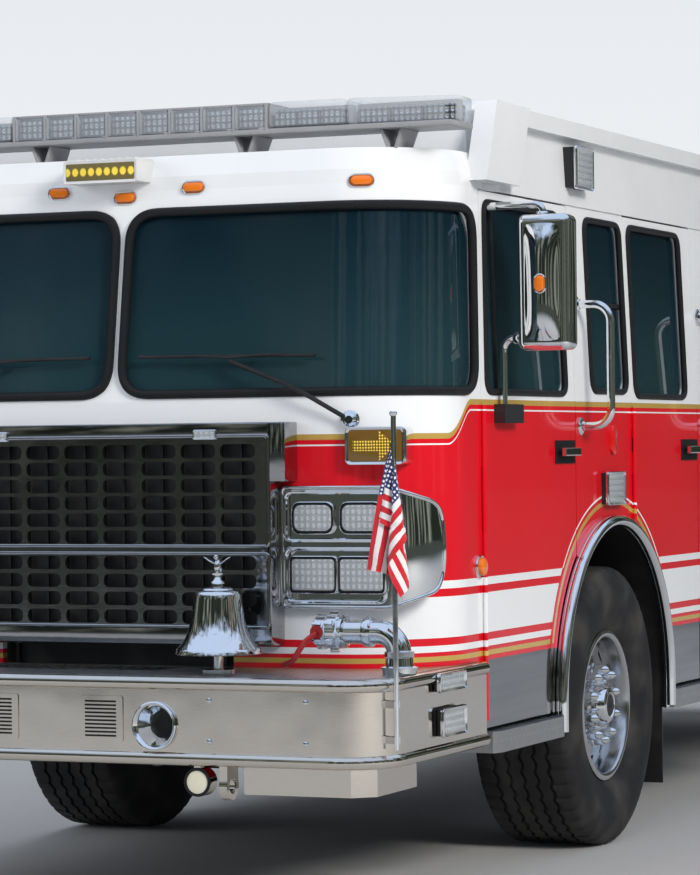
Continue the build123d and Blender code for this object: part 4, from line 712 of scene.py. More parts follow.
# Side lamps with clear lenses in chromed frames: over each front arch, high behind the door, and on the
# bumper's ends. Small clear lamps stand on the corners of the grille too.
bezels, reflectors, lenses = bmesh.new(), bmesh.new(), bmesh.new()
for side in (-1, 1):
    # Columns: distance of the middle, height, outer face, width, height
    for back, z, out, wide, tall in (
        (2.5175, 1.440, 1.252, 0.215, 0.130), (2.200, 2.7075, 1.240, 0.200, 0.165),
        (0.605, 0.7965, 1.285, 0.250, 0.063), (0.620, 0.6565, 1.285, 0.220, 0.097),
    ):
        seat = facing(Vector((side * (out - 0.013), nose + back, z)), (side, 0, 0))
        sink(bezels, add_pad(bezels, seat, wide + 0.006, tall + 0.006, 0.0135, 0.016), 0.010, 0.008)
        add_pad(reflectors, seat, wide - 0.020, tall - 0.020, 0.001, 0.008, 0, 0.0058)
        add_pad(lenses, seat, wide - 0.016, tall - 0.016, 0.007, 0.010, 0.003, 0.0072)
    seat = facing(Vector((side * 0.420, nose + 0.420, 1.668)), (0, -1, 0))
    sink(bezels, add_pad(bezels, seat, 0.092, 0.036, 0.010, 0.008), 0.006, 0.005)
    add_pad(reflectors, seat, 0.078, 0.022, 0.001, 0.004, 0, 0.0052)
    add_pad(lenses, seat, 0.079, 0.023, 0.006, 0.005, 0.002, 0.0065)
settle("side_lamp_frames", bezels, chrome)
settle("side_lamp_reflectors", reflectors, reflector)
settle("side_lamp_lenses", lenses, clear_lens)

# Tail lamps: three on each side of the rear, red above, amber between and clear below, and red reflectors.
bezels, reds, ambers, clears = bmesh.new(), bmesh.new(), bmesh.new(), bmesh.new()
for side in (-1, 1):
    for z, lens in ((0.900, clears), (1.060, ambers), (1.220, reds)):
        seat = facing(Vector((side * 1.080, nose + 9.085, z)), (0, 1, 0))
        sink(bezels, add_pad(bezels, seat, 0.164, 0.134, 0.012, 0.020), 0.009, 0.006)
        add_pad(lens, seat, 0.144, 0.114, 0.012, 0.014, 0.004, 0.006)
    # The oval reflector stands on the skin over the front wheel
    seat = facing(Vector((side * 1.2188, nose + 2.545, 1.635)), (side, 0, 0))
    add_pad(reds, seat, 0.062, 0.118, 0.016, 0.030, 0.006)
settle("tail_lamp_bezels", bezels, chrome)
settle("red_lenses", reds, red_lens)
settle("amber_tail_lenses", ambers, amber_lens)
settle("clear_tail_lenses", clears, clear_lens)


# Light bar: a grey frame carries a row of clear lamp heads with black dividers, and longer heads that turn
# back at each end. It stands on two pressed feet at each side, and a flood lamp hangs from the brow under it.
def coated(name, dark, light, blotches, gloss, pimples):
    """A paint or plastic. Gloss is scale, spread and least, pimples are scale, detail, depth and strength."""
    finish = Finish(name)
    finish.set(Base_Color=finish.mix(dark, light, finish.noise(blotches, 4)),
               Roughness=finish.noise(gloss[0], 3) * gloss[1] + gloss[2])
    finish.bump(finish.noise(*pimples[:2]), *pimples[2:])
    return finish


bar_grey = coated("bar_frame", (0.26, 0.26, 0.27), (0.36, 0.36, 0.37), 8, (30, 0.2, 0.3),
                  (120, 3, 0.0005, 0.2))
bar_lens = lens_finish("bar_lens", (0.62, 0.67, 0.72), 0.34, 60.0)
heads, domes, frames = bmesh.new(), bmesh.new(), bmesh.new()
bar_front, bar_rear = nose + 0.740, nose + 0.960
add_box(frames, (-1.246, bar_front + 0.004, 2.757), (1.246, bar_rear - 0.004, 2.777), 0.006)
add_box(frames, (-0.525, bar_front + 0.018, 2.862), (0.525, bar_rear - 0.018, 2.872), 0.004)
for index in range(9):
    x = -0.52 + index * 0.130
    add_box(frames, (x - 0.005, bar_front + 0.003, 2.770), (x + 0.005, bar_rear - 0.003, 2.870), 0.002)
    if index < 8:
        add_box(heads, (x + 0.017, bar_front + 0.020, 2.786), (x + 0.113, bar_front + 0.060, 2.852), 0.006)
        add_box(domes, (x + 0.0055, bar_front + 0.002, 2.7775), (x + 0.1245, bar_front + 0.080, 2.862), 0.008)
for side in (-1, 1):
    # The end heads turn back, so each is wider and its outer corner is cut off
    for start, end, cut in ((0.530, 0.830, 0.0), (0.838, 1.245, 0.09)):
        low, high = sorted((side * start, side * end))
        third = (high - low - 0.028) / 3
        for row in range(3):
            add_box(heads, (low + 0.018 + row * third, bar_front + 0.026 + cut * 0.6, 2.786),
                    (low + 0.010 + (row + 1) * third, bar_rear - 0.026, 2.842), 0.006)
        add_box(frames, (low + 0.004, bar_front + 0.100, 2.776), (high - 0.004, bar_rear - 0.090, 2.858),
                0.006)
        middle = ((low + high) / 2, (bar_front + bar_rear) / 2, 2.825)
        dome = add_block(domes, middle, (high - low, 0.216, 0.094))
        for vertex in dome:
            if cut and abs(vertex.co.x) > 1.2 and vertex.co.y < bar_front + 0.1:
                vertex.co.y += cut
        ease(domes, edges_of(dome), 0.016, 3)
    # Each foot is a bent plate with a flange on the roof
    for stand, spread in ((0.42, -0.03), (0.42, 0.03), (1.0, -0.03), (1.0, 0.03)):
        place = Matrix.Translation((side * stand + spread, bar_front + 0.11, 2.73))
        foot = place @ Matrix.Rotation(spread * 12, 4, "Y")
        add_box(frames, (-0.006, -0.075, -0.045), (0.006, 0.075, 0.030), 0.003, foot)
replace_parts(settle("light_bar_frame", frames, bar_grey), "light_bar")
settle("light_bar_heads", heads, reflector)
settle("light_bar_domes", domes, bar_lens)

flood_white = coated("flood_housing", (0.62, 0.62, 0.62), (0.74, 0.74, 0.73), 12, (30, 0.15, 0.3),
                     (150, 2, 0.0004, 0.15))
flood_light = Finish("flood_cells", Coat_Weight=0.6, Coat_Roughness=0.03)
cell_x, cell_z = (((flood_light.x + 0.2) / 0.0325) % 1.0) - 0.5, (flood_light.z - 2.630) * 26.0
cell_round = (cell_x ** 2 + cell_z ** 2) ** 0.5
yellow_cells = flood_light.mix((0.95, 0.72, 0.08), (0.16, 0.13, 0.05), cell_round.rise(0.30, 0.46))
flood_light.set(Base_Color=yellow_cells, Roughness=flood_light.noise(60, 2) * 0.1 + 0.12)
flood_light.bump(cell_round, 0.003, 0.6)
housing, cells_face = bmesh.new(), bmesh.new()
add_box(housing, (-0.200, nose + 0.540, 2.590), (0.100, nose + 0.690, 2.671), 0.006)
seat = facing(Vector((-0.05, nose + 0.5400, 2.630)), (0, -1, 0))
sink(housing, add_pad(housing, seat, 0.300, 0.084, 0.0045, 0.008, 0.001), 0.010, 0.003)
add_pad(cells_face, seat, 0.278, 0.062, 0.002, 0.004, 0.0006, 0.0016)
for index in range(9):
    # Cooling fins along the top
    x = -0.185 + index * 0.034
    add_box(housing, (x - 0.003, nose + 0.545, 2.670), (x + 0.003, nose + 0.690, 2.679), 0.001)
settle("flood_housing", housing, flood_white)
settle("flood_cells", cells_face, flood_light)


# Grille: a polished pan whose face is pierced by eighty round-ended slots in two fields, over a dark core.
# The flat face is drawn as an outline with holes and given the sheet's thickness.
grille_steel = bright_metal("grille_steel", (0.30, 0.30, 0.31), (0.46, 0.46, 0.47), 0.05, (1, 1, 5))
# Near-black finish for the vanes behind the grille, and for the painted shade in the bumper's openings.
black_core_and_shade = black_steel("slot_liner_and_shade", (0.006, 0.006, 0.006), (0.015, 0.015, 0.015))


def add_plate(shape, move, outlines, thick):
    """Add a flat plate. Each outline is its middle, width, height and corner, the rim before the holes."""
    curve = bpy.data.curves.new("plate", "CURVE")
    curve.dimensions = "2D"
    curve.fill_mode = "BOTH"
    curve.extrude = thick / 2
    for x, z, wide, tall, corner in outlines:
        corners = rectangle(x - wide / 2, x + wide / 2, z - tall / 2, z + tall / 2)
        points = round_trip(corners, corner, steps=4, gap=1.0)
        spline = curve.splines.new("POLY")
        spline.points.add(len(points) - 1)
        for point, place in zip(spline.points, points):
            point.co = (place.x, place.y, 0, 1)
        spline.use_cyclic_u = True
    add_curve(shape, curve, move)


grille_front = nose + 0.420
slots = [((column - 3.5) * 0.156, low + row * pitch, 0.137, 0.049, 0.0235)
         for low, pitch, rows in ((1.020, 0.0640, 4), (1.304, 0.0610, 6)) for row in range(rows)
         for column in range(8)]
shape = bmesh.new()
stand = facing(Vector((0, grille_front + 0.006, 0)), (0, -1, 0))
add_plate(shape, stand, [(0, 1.3250, 1.330, 0.680, 0.010)] + slots, 0.012)
# The wide head above the shoulders, the foot below the slots, and the rounded rims of both fields.
# Columns: left and right end, low and high, eased edge
for left, right, low, high, edge in (
    (-0.729, -0.6655, 1.500, 1.710, 0.006), (0.6655, 0.729, 1.500, 1.710, 0.006),
    (-0.666, 0.666, 1.6485, 1.710, 0.006), (-0.673, 0.673, 0.920, 0.9965, 0.006),
    (-0.673, -0.655, 0.990, 1.505, 0.005), (0.655, 0.673, 0.990, 1.505, 0.005),
):
    add_box(shape, (left, grille_front, low), (right, grille_front + 0.113, high), edge)
for low, high in ((1.272, 1.662), (0.985, 1.246)):
    rim = round_trip(rectangle(-0.662, 0.662, low, high), 0.014)
    add_rod(shape, [Vector((x, grille_front + 0.004, z)) for x, z in rim], 0.008, closed=True)
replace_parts(settle("grille_plate", shape, grille_steel, crease=40), "grille")
shape = bmesh.new()
for index in range(17):
    # Upright vanes behind the slots, part of the dark core
    x = (index - 8) * 0.078
    add_box(shape, (x - 0.005, grille_front + 0.026, 0.98), (x + 0.005, grille_front + 0.042, 1.66), 0.002)
settle("grille_vanes", shape, black_core_and_shade)


# Bumper: chromed trumpets in dished cups, louvres cut through sheets with a bolt at each corner, and bolt
# heads along its ribs. Its middle plate is left bare.
def add_lathe(shape, profile, centre, axis=(1, 0, 0), steps=48):
    """Turn a closed profile of (along, out) points about an axis through centre."""
    axis = Vector(axis)
    out = axis.orthogonal().normalized()
    centre = Vector(centre)
    rows = [shape.verts.new(centre + axis * along + out * max(radius, 1e-5)) for along, radius in profile]
    edges = [shape.edges.new(pair) for pair in zip(rows, rows[1:] + rows[:1])]
    bmesh.ops.spin(shape, geom=rows + edges, cent=centre, axis=axis, angle=math.tau, steps=steps,
                   use_merge=True, use_duplicate=False)


def add_bolt(shape, radius, tall, centre, axis, steps=12):
    """Add a domed bolt head, from its seat outward."""
    add_lathe(shape, [(0, 0), (0, radius), (tall * 0.5, radius), (tall * 0.8, radius * 0.8),
                      (tall, radius * 0.4), (tall, 0)], centre, axis, steps)


shape, dark, louvres = bmesh.new(), bmesh.new(), bmesh.new()
rows = [(0, (row - 4.5) * 0.0132, 0.122, 0.0066, 0.0025) for row in range(10)]
for side in (-1, 1):
    cup = Vector((side * 0.414, nose + 0.010, 0.669))
    trumpet = [(-0.008, 0.084), (-0.012, 0.079), (-0.008, 0.073), (0.006, 0.066), (0.030, 0.048),
               (0.060, 0.034), (0.090, 0.024), (0.090, 0.028), (0.050, 0.052), (0.010, 0.078)]
    add_lathe(shape, trumpet, cup, (0, 1, 0), 56)
    # A dark disc in each trumpet's throat is painted shade.
    add_lathe(dark, [(0.066, 0), (0.066, 0.033), (0.072, 0.030), (0.072, 0)], cup, (0, 1, 0), 32)
    for z in (-0.064, 0.064):
        for x in (-0.071, 0.071):
            add_bolt(shape, 0.006, 0.004, (side * 0.205 + x, nose + 0.0145, 0.690 + z), (0, -1, 0))
    for x in (0.62, 0.98):
        for z in (0.62, 0.76):
            add_bolt(shape, 0.009, 0.006, (side * x, nose + 0.0145, z), (0, -1, 0), 16)
    # Louvre panel: a sheet with ten slots cut through it, over a thin near-black sheet that is painted shade
    # in the openings
    seat = facing(Vector((side * 0.205, nose + 0.0115, 0.690)), (0, -1, 0))
    add_plate(louvres, seat, [(0, 0, 0.172, 0.158, 0.010)] + rows, 0.003)
    add_box(dark, (side * 0.205 - 0.068, nose + 0.0132, 0.618), (side * 0.205 + 0.068, nose + 0.0142, 0.762),
            0.0003)
settle("bumper_fittings", shape, chrome)
settle("bumper_louvres", louvres, bumper_steel)
settle("bumper_painted_shade", dark, black_core_and_shade)

# Low lamps: under the bumper, a ribbed cream lens in a black rubber ring on each round housing.
low_lens = Finish("low_lamp_lens", Base_Color=(0.74, 0.70, 0.55), Coat_Weight=0.6, Coat_Roughness=0.04)
low_lens.set(Roughness=low_lens.noise(30, 3) * 0.1 + 0.15)
low_lens.bump((low_lens.x * 90.0).cell(), 0.0012, 0.4)
rings, lenses = bmesh.new(), bmesh.new()
for side in (-1, 1):
    place = Vector((side * 0.565, nose + 0.0295, 0.478))
    add_lathe(rings, [(0, 0.040), (0, 0.0500), (0.004, 0.0495), (0.006, 0.046), (0.005, 0.041),
                      (0.001, 0.039)], place, (0, -1, 0), 40)
    add_lathe(lenses, [(0, 0), (0, 0.0405), (0.0015, 0.040), (0.0035, 0.030), (0.005, 0.016), (0.0055, 0)],
              place, (0, -1, 0), 40)
settle("low_lamp_rings", rings, rubber)
settle("low_lamp_lenses", lenses, low_lens)


# Deck tray: a black grating of bars over the tray in the bumper's top.
shape = bmesh.new()
for index in range(15):
    x = -0.54 + index * 0.058
    add_box(shape, (x - 0.004, nose + 0.272, 0.812), (x + 0.004, nose + 0.498, 0.836), 0.0015)
for back in (0.300, 0.385, 0.470):
    add_box(shape, (-0.552, nose + back - 0.004, 0.812), (0.292, nose + back + 0.004, 0.8355), 0.0015)
settle("deck_grating", shape, chassis_black)


# Bell: cast bronze in thick chrome, thin at its flared lip, with ridges turned into its waist and shoulder.
# A small bird with folded wings stands on the crown.
shape, bird = bmesh.new(), bmesh.new()
bell_profile = [
    (0, 0.152), (0.003, 0.152), (0.010, 0.148), (0.016, 0.1475), (0.020, 0.143), (0.034, 0.129),
    (0.056, 0.115), (0.084, 0.1035), (0.118, 0.095), (0.156, 0.089), (0.190, 0.085), (0.205, 0.083),
    (0.213, 0.080), (0.219, 0.073), (0.222, 0.060), (0.226, 0.058), (0.230, 0.052), (0.232, 0.030),
    (0.236, 0.022), (0.246, 0.018), (0.246, 0), (0.222, 0), (0.214, 0.060), (0.206, 0.072), (0.190, 0.076),
    (0.110, 0.089), (0.060, 0.104), (0.030, 0.124), (0.012, 0.140), (0.001, 0.146),
]
crown = Vector((0.552, nose + 0.234, 0.905))
add_lathe(shape, bell_profile, crown, (0, 0, 1), 72)
add_lathe(shape, [(0.243, 0), (0.243, 0.026), (0.250, 0.024), (0.258, 0.014), (0.270, 0.012), (0.274, 0.020),
                  (0.280, 0.021), (0.284, 0.012), (0.290, 0)], crown, (0, 0, 1), 32)
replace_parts(settle("bell_shell", shape, chrome, crease=50), "bell")


def add_egg(shape, move, sizes, rounds=3):
    """Add a ball stretched to these half sizes."""
    place = move @ Matrix.Diagonal((*sizes, 1))
    bmesh.ops.create_icosphere(shape, subdivisions=rounds, radius=1, matrix=place)


def tilted(place, angle, axis="X"):
    """A frame at place, turned by an angle in degrees."""
    return Matrix.Translation(place) @ Matrix.Rotation(math.radians(angle), 4, axis)


perch = crown + Vector((0, 0, 0.280))
# Columns: offset from the perch, half sizes, lean toward the front in degrees
for offset, sizes, lean_angle in (
    ((0, 0, 0.026), (0.012, 0.015, 0.024), 14), ((0, -0.010, 0.056), (0.0085, 0.010, 0.010), 20),
    ((0, -0.023, 0.055), (0.003, 0.007, 0.0028), 0), ((0, 0.014, 0.002), (0.008, 0.020, 0.005), -50),
):
    add_egg(bird, tilted(perch + Vector(offset), -lean_angle), sizes)
for side in (-1, 1):
    wing = tilted(perch + Vector((side * 0.024, 0.004, 0.040)), side * 58, "Y") @ tilted((0, 0, 0), 12)
    add_egg(bird, wing, (0.004, 0.012, 0.026))
    for index in range(3):
        feather = wing @ tilted((0, 0.006 - index * 0.006, 0.018), 18 - index * 16)
        add_egg(bird, feather, (0.0025, 0.004, 0.016), 2)
settle("bell_bird", bird, chrome, crease=60)


# Swivel discharge: ribbed couplings with lugs, a flange with bolts at its foot, and a red handle.
shape = bmesh.new()
middle = Vector((0.890, nose + 0.350, 0.980))
cap = [(-0.012, 0), (-0.012, 0.050), (-0.006, 0.056), (0.030, 0.056), (0.034, 0.052), (0.040, 0.059),
       (0.072, 0.059), (0.078, 0.052), (0.084, 0.057), (0.096, 0.057), (0.101, 0.046), (0.101, 0.030),
       (-0.004, 0.030)]
add_lathe(shape, cap, middle)
for index in range(6):
    turned = tilted(middle, index * 60)
    add_box(shape, (0.040, -0.011, 0.052), (0.070, 0.011, 0.072), 0.004, turned)
    add_box(shape, (-0.010, -0.007, 0.050), (0.024, 0.007, 0.062), 0.003, turned)
foot = Vector((1.185, nose + 0.350, 0.853))
add_lathe(shape, [(0, 0.040), (0, 0.064), (0.008, 0.064), (0.012, 0.050), (0.040, 0.047), (0.044, 0.052),
                  (0.062, 0.052), (0.066, 0.044), (0.066, 0.040)], foot, (0, 0, 1), 40)
add_lathe(shape, [(0, 0.040), (0, 0.050), (0.006, 0.053), (0.022, 0.053), (0.028, 0.050), (0.028, 0.040)],
          (1.060, nose + 0.350, 0.980), (1, 0, 0), 40)
for index in range(8):
    angle = index * math.tau / 8 + 0.2
    add_bolt(shape, 0.007, 0.006, foot + Vector((math.cos(angle), math.sin(angle), 0)) * 0.056, (0, 0, 1))
settle("swivel_couplings", shape, chrome)
red_handle = Finish("red_enamel", Coat_Weight=0.4)
red_handle.set(Base_Color=red_handle.mix((0.30, 0.008, 0.010), (0.40, 0.015, 0.015), red_handle.noise(20, 4)),
               Roughness=red_handle.noise(40, 3) * 0.2 + 0.25)
shape = bmesh.new()
route = [(0.900, nose + 0.288, 0.975), (0.880, nose + 0.262, 0.960), (0.850, nose + 0.255, 0.920),
         (0.830, nose + 0.262, 0.888), (0.800, nose + 0.280, 0.872), (0.770, nose + 0.300, 0.866)]
add_rod(shape, route, 0.010)
add_lathe(shape, [(-0.010, 0), (-0.010, 0.024), (0.010, 0.024), (0.010, 0)], (0.900, nose + 0.300, 0.980),
          (0, 1, 0), 20)
settle("swivel_handle", shape, red_handle)


# Wipers: black arms on chromed pivots below the windshield, each with a long blade on a hinged carrier.
wiper_black = black_steel("wiper_black", (0.012, 0.012, 0.012), (0.03, 0.03, 0.03))
shape, caps = bmesh.new(), bmesh.new()
for side in (-1, 1):
    pivot = skin_place(side * 0.93, 1.715)
    outward = (skin_place(side * 0.93, 1.715, 0.05) - pivot).normalized()
    add_lathe(caps, [(0, 0), (0, 0.034), (0.010, 0.034), (0.014, 0.026), (0.034, 0.024), (0.042, 0.014),
                     (0.042, 0)], pivot, outward, 28)
    hub, elbow, tip = (skin_place(side * run, z, out) for run, z, out in
                       ((0.93, 1.715, 0.034), (0.74, 1.830, 0.055), (0.47, 1.930, 0.030)))
    add_rod(shape, [hub, hub.lerp(elbow, 0.5), elbow, elbow.lerp(tip, 0.5), tip], 0.0085)
    add_rod(shape, [skin_place(side * run, 1.948 + 0.004 * math.cos(run * 3), 0.018) for run in
                    (0.10, 0.22, 0.34, 0.46, 0.58, 0.70, 0.80)], 0.0065)
    add_rod(shape, [skin_place(side * run, z, out) for run, z, out in
                    ((0.24, 1.950, 0.020), (0.34, 1.952, 0.030), (0.47, 1.940, 0.034), (0.58, 1.952, 0.030),
                     (0.68, 1.950, 0.020))], 0.005)
settle("wiper_arms", shape, wiper_black)
settle("wiper_pivots", caps, chrome)


# Mirrors: each chromed head has a shell that bulges forward, a flat and a convex glass facing back, a seam
# round its edge, an amber lamp on its face and clamps where the arms enter.
mirror_glass = Finish("mirror_glass", Metallic=1.0, Base_Color=(0.55, 0.58, 0.60))
mirror_glass.set(Roughness=mirror_glass.noise(6, 3) * 0.01 + 0.01)
clamp = [(-0.022, 0.014), (-0.022, 0.020), (-0.016, 0.024), (0.016, 0.024), (0.022, 0.020), (0.022, 0.014)]
for side, hand in hands:
    door = f"door_front_{hand}"
    glasses, trims, markers, shell = bmesh.new(), bmesh.new(), bmesh.new(), bmesh.new()
    middle = Vector((side * 1.420, nose + 1.240, 2.2125))
    ease(shell, edges_of(add_block(shell, middle, (0.203, 0.116, 0.498))), 0.029, 6)
    face = min(shell.faces, key=lambda f: f.calc_center_median().y)
    bmesh.ops.subdivide_edges(shell, edges=list(face.edges), cuts=12, use_grid_fill=True)
    front = min(v.co.y for v in shell.verts)
    for vertex in shell.verts:
        if vertex.co.y < front + 1e-5:
            off = vertex.co - middle
            vertex.co.y -= 0.030 * (1 - (off.x / 0.0725) ** 2) * (1 - (off.z / 0.220) ** 4)
    settle(f"mirror_shell_{hand}", shell, chrome, door, crease=50)
    for z, tall in ((2.262, 0.300), (2.044, 0.100)):
        seat = facing(Vector((side * 1.420, nose + 1.2995, z)), (0, 1, 0))
        add_pad(glasses, seat, 0.150, tall, 0.004, 0.020, 0.001)
    seam = round_trip(rectangle(1.3215, 1.5185, 1.9665, 2.4585), 0.032)
    add_rod(trims, [Vector((side * x, nose + 1.262, z)) for x, z in seam], 0.0025, closed=True)
    add_lathe(trims, clamp, (side * 1.308, nose + 1.250, 2.010), (1, 0, 0), 24)
    add_lathe(trims, clamp, (side * 1.400, nose + 1.250, 2.452), (0, 0, 1), 24)
    seat = facing(Vector((side * 1.420, nose + 1.1535, 2.205)), (0, -1, 0))
    sink(trims, add_pad(trims, seat, 0.050, 0.074, 0.006, 0.024), 0.006, 0.002)
    add_pad(markers, seat, 0.034, 0.058, 0.012, 0.0165, 0.005, 0.004)
    settle(f"mirror_glass_{hand}", glasses, mirror_glass, door)
    settle(f"mirror_trim_{hand}", trims, chrome, door)
    settle(f"mirror_marker_{hand}", markers, amber_marker, door)


# Grab handles: a round chromed flange stands on the skin at each foot of a tube, held by two screws.
shape = bmesh.new()
for side in (-1, 1):
    for back in (2.160, 3.770):
        for z, half in ((1.690, 1.219), (2.170, 1.202)):
            foot = Vector((side * half, nose + back, z))
            add_lathe(shape, [(0.0005, 0), (0.0005, 0.036), (0.006, 0.036), (0.010, 0.030), (0.014, 0.0205),
                              (0.022, 0.0195), (0.022, 0)], foot, (side, 0, 0), 32)
            for rise in (-0.026, 0.026):
                add_bolt(shape, 0.005, 0.004, foot + Vector((side * 0.007, 0, rise)), (side, 0, 0), 10)
settle("handle_flanges", shape, chrome)


# Flag: woven nylon, thirteen stripes and a blue field with rows of white dots, sewn to the staff down one
# edge. It is pinned to the staff and let fall under its own weight.
flag_cloth = Finish("flag_cloth", Sheen_Weight=0.3)
place = flag_cloth.node("ShaderNodeUVMap", {"uv_map": "cloth"}, {}, "UV")
along, rise = (flag_cloth.node("ShaderNodeSeparateXYZ", {}, {0: place}, axis) for axis in "XY")
stripe = ((rise * 6.5) % 1.0) > 0.5
field = (along < 0.40) * (rise > 0.4615)
cell_x, cell_y = (along * 30.0) % 1.0 - 0.5, (rise * 17.0) % 1.0 - 0.5
star = (cell_x * cell_x + cell_y * cell_y) < 0.085
threads = (along * 420.0).cell() + (rise * 280.0).cell()
striped = flag_cloth.mix((0.62, 0.010, 0.022), (0.82, 0.80, 0.78), stripe)
starred = flag_cloth.mix((0.012, 0.022, 0.12), (0.80, 0.80, 0.82), star)
flag_cloth.set(Base_Color=flag_cloth.mix(striped, starred, field), Roughness=threads * 0.1 + 0.6)
flag_cloth.bump(threads, 0.0006, 0.4)
flag_wide, flag_deep = 0.40, 0.26
hoist = Vector((1.2618, nose + 0.1086, 1.625))
shape = bmesh.new()
marks = shape.loops.layers.uv.new("cloth")
bmesh.ops.create_grid(shape, x_segments=42, y_segments=28, size=0.5)
for face in shape.faces:
    for loop in face.loops:
        loop[marks].uv = (0.5 - loop.vert.co.x, loop.vert.co.y + 0.5)
spread = random.Random(4)
for vertex in shape.verts:
    run, drop = (0.5 - vertex.co.x) * flag_wide, (0.5 - vertex.co.y) * flag_deep
    ripple = 0.020 * math.sin(run * 34 + drop * 9) * min(1, run / 0.08) + spread.uniform(-0.001, 0.001)
    vertex.co = hoist + Vector((-0.94 * run, ripple - 0.30 * run, -drop))


def after_modifiers(holder):
    """The mesh that an object shows once its modifiers have run."""
    return bpy.data.meshes.new_from_object(holder.evaluated_get(bpy.context.evaluated_depsgraph_get()))


def let_move(holder, frames, weight=1.0, **settings):
    """Let an object move as cloth for some frames, and give back the mesh that it has then."""
    cloth = holder.modifiers.new("cloth", "CLOTH")
    cloth.settings.effector_weights.gravity = weight
    for name, value in settings.items():
        setattr(cloth.settings, name, value)
    cloth.point_cache.frame_start = 1
    cloth.point_cache.frame_end = frames
    for step in range(1, frames + 1):
        bpy.context.scene.frame_set(step)
    mesh = after_modifiers(holder)
    holder.modifiers.remove(cloth)
    bpy.context.scene.frame_set(1)
    return mesh


flag_piece = in_scene("flag_drape", shape)
pins = flag_piece.vertex_groups.new(name="hoist")
pins.add([v.index for v in flag_piece.data.vertices if v.co.x > hoist.x - 0.0015], 1.0, "REPLACE")
flag_piece.data = let_move(flag_piece, 60, vertex_group_mass="hoist", quality=6, mass=0.12,
                           tension_stiffness=25, compression_stiffness=25, shear_stiffness=8,
                           bending_stiffness=2.5, air_damping=2.5)
flag_piece.data.name = "flag_drape"
flag_piece.data.shade_smooth()
flag_piece.data.materials.clear()
flag_piece.data.materials.append(flag_cloth.material)
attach(flag_piece, "chassis")
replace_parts(flag_piece, "flag")
shape = bmesh.new()
staff_place = Vector((1.2716, nose + 0.1086, 0))
add_lathe(shape, [(1.722, 0), (1.722, 0.010), (1.728, 0.0135), (1.734, 0.0135), (1.738, 0.008), (1.738, 0)],
          staff_place, (0, 0, 1), 20)
for z in (1.625, 1.365):
    add_lathe(shape, [(z - 0.006, 0.0092), (z - 0.006, 0.0125), (z + 0.006, 0.0125), (z + 0.006, 0.0092)],
              staff_place, (0, 0, 1), 20)
settle("staff_fittings", shape, chrome)


# Tyres: black rubber rings with ribbed walls. Grooves run round the tread in a zigzag between its ribs, and
# notches cut its shoulders. Each is turned from a half section, then its tread is moved side to side.
tyre_rubber = Finish("tyre_rubber", Specular_IOR_Level=0.35)
dusty = tyre_rubber.noise(5.0, 6).rise(0.4, 0.8)
tyre_rubber.set(Base_Color=tyre_rubber.mix((0.016, 0.016, 0.017), (0.060, 0.056, 0.050), dusty),
                Roughness=tyre_rubber.noise(40, 4) * 0.2 + 0.62)
tyre_rubber.bump(tyre_rubber.noise(160, 4), 0.0012, 0.5)


def tyre_section(half, radius, grooves):
    """Section of a tyre: bead, bulging wall with fine ribs, shoulder, and a tread with square grooves."""
    low = [(-half + 0.045, 0.2865)]
    for step in range(15):
        share = step / 14
        out = 0.1225 * share ** 2 - 0.1515 * share + 0.045
        rib = 0.0022 if step in (2, 9, 11) else 0
        low.append((-half + out - rib, 0.306 + share * (radius - 0.334)))
    low += [(-half + 0.028, radius - 0.010), (-half + 0.044, radius - 0.0025)]
    tread = [(groove + offset, radius - 0.0008 - deep) for groove in grooves
             for offset, deep in ((-0.0075, 0), (-0.0055, 0.013), (0.0055, 0.013), (0.0075, 0))]
    return low + tread + [(-x, z) for x, z in reversed(low)]


def add_tyre(shape, middle, half, radius, grooves, axle):
    """Turn a tyre's section about its axle, then zigzag its ribs and notch its shoulders."""
    centre, pitches = Vector((middle, nose + axle, radius)), 52
    made = set(shape.verts)
    add_lathe(shape, tyre_section(half, radius, grooves), centre, (1, 0, 0), pitches * 5)
    for vertex in set(shape.verts) - made:
        out = vertex.co - centre
        reach = math.hypot(out.y, out.z)
        if reach < radius - 0.036:
            continue
        turn_share = (math.atan2(out.z, out.y) / math.tau * pitches) % 1.0
        if abs(out.x) < half - 0.046:
            vertex.co.x += 0.0075 * (abs(turn_share - 0.5) * 4 - 1)
        elif abs(turn_share - 0.3) < 0.18:
            shrink = 1 - (0.009 if abs(out.x) < half - 0.020 else 0.005) / reach
            vertex.co.y, vertex.co.z = centre.y + out.y * shrink, centre.z + out.z * shrink


rear_axle = 7.240
for side, hand in hands:
    # Columns: piece, body, node, middles of its tyres, half width, radius, axle distance, tread grooves
    for name, body, node, middles, half, radius, axle, grooves in (
        ("tyre_ring_front", "front_wheel", "tyre_front", (1.012,), 0.2125, 0.562, axle_back,
         (-0.112, -0.056, 0.0, 0.056, 0.112)),
        ("tyre_rings_rear", "rear_wheels", "tyres_rear", (1.085, 0.740), 0.150, 0.538, rear_axle,
         (-0.066, 0.0, 0.066)),
    ):
        shape = bmesh.new()
        for middle in middles:
            add_tyre(shape, side * middle, half, radius, grooves, axle)
        piece = settle(f"{name}_{hand}", shape, tyre_rubber, f"{body}_{hand}", crease=32)
        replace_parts(piece, f"{node}_{hand}")


# Arch lips: a thick chromed roll along the trim of each front wheel opening.
shape = bmesh.new()
for side in (-1, 1):
    angles = [step * math.pi / 28 for step in range(29)]
    line = [(-0.680, z) for z in (0.512, 0.560, 0.610)]
    line += [(-math.cos(angle) * 0.680, math.sin(angle) * 0.680 + arch_height) for angle in angles]
    line += [(0.680, z) for z in (0.610, 0.560, 0.512)]
    add_rod(shape, [(side * 1.242, nose + axle_back + back, z) for back, z in line], 0.0225, sides=5)
settle("arch_lips", shape, chrome)


# Wheels: forged aluminium discs polished bright, with ten round hand holes. Chromed covers stand over the
# nuts in two rings, and the hub carries an oil cap with a dark window.
wheel_metal = bright_metal("wheel_aluminium", (0.46, 0.46, 0.47), (0.60, 0.60, 0.61), 0.13, (6, 1, 1))


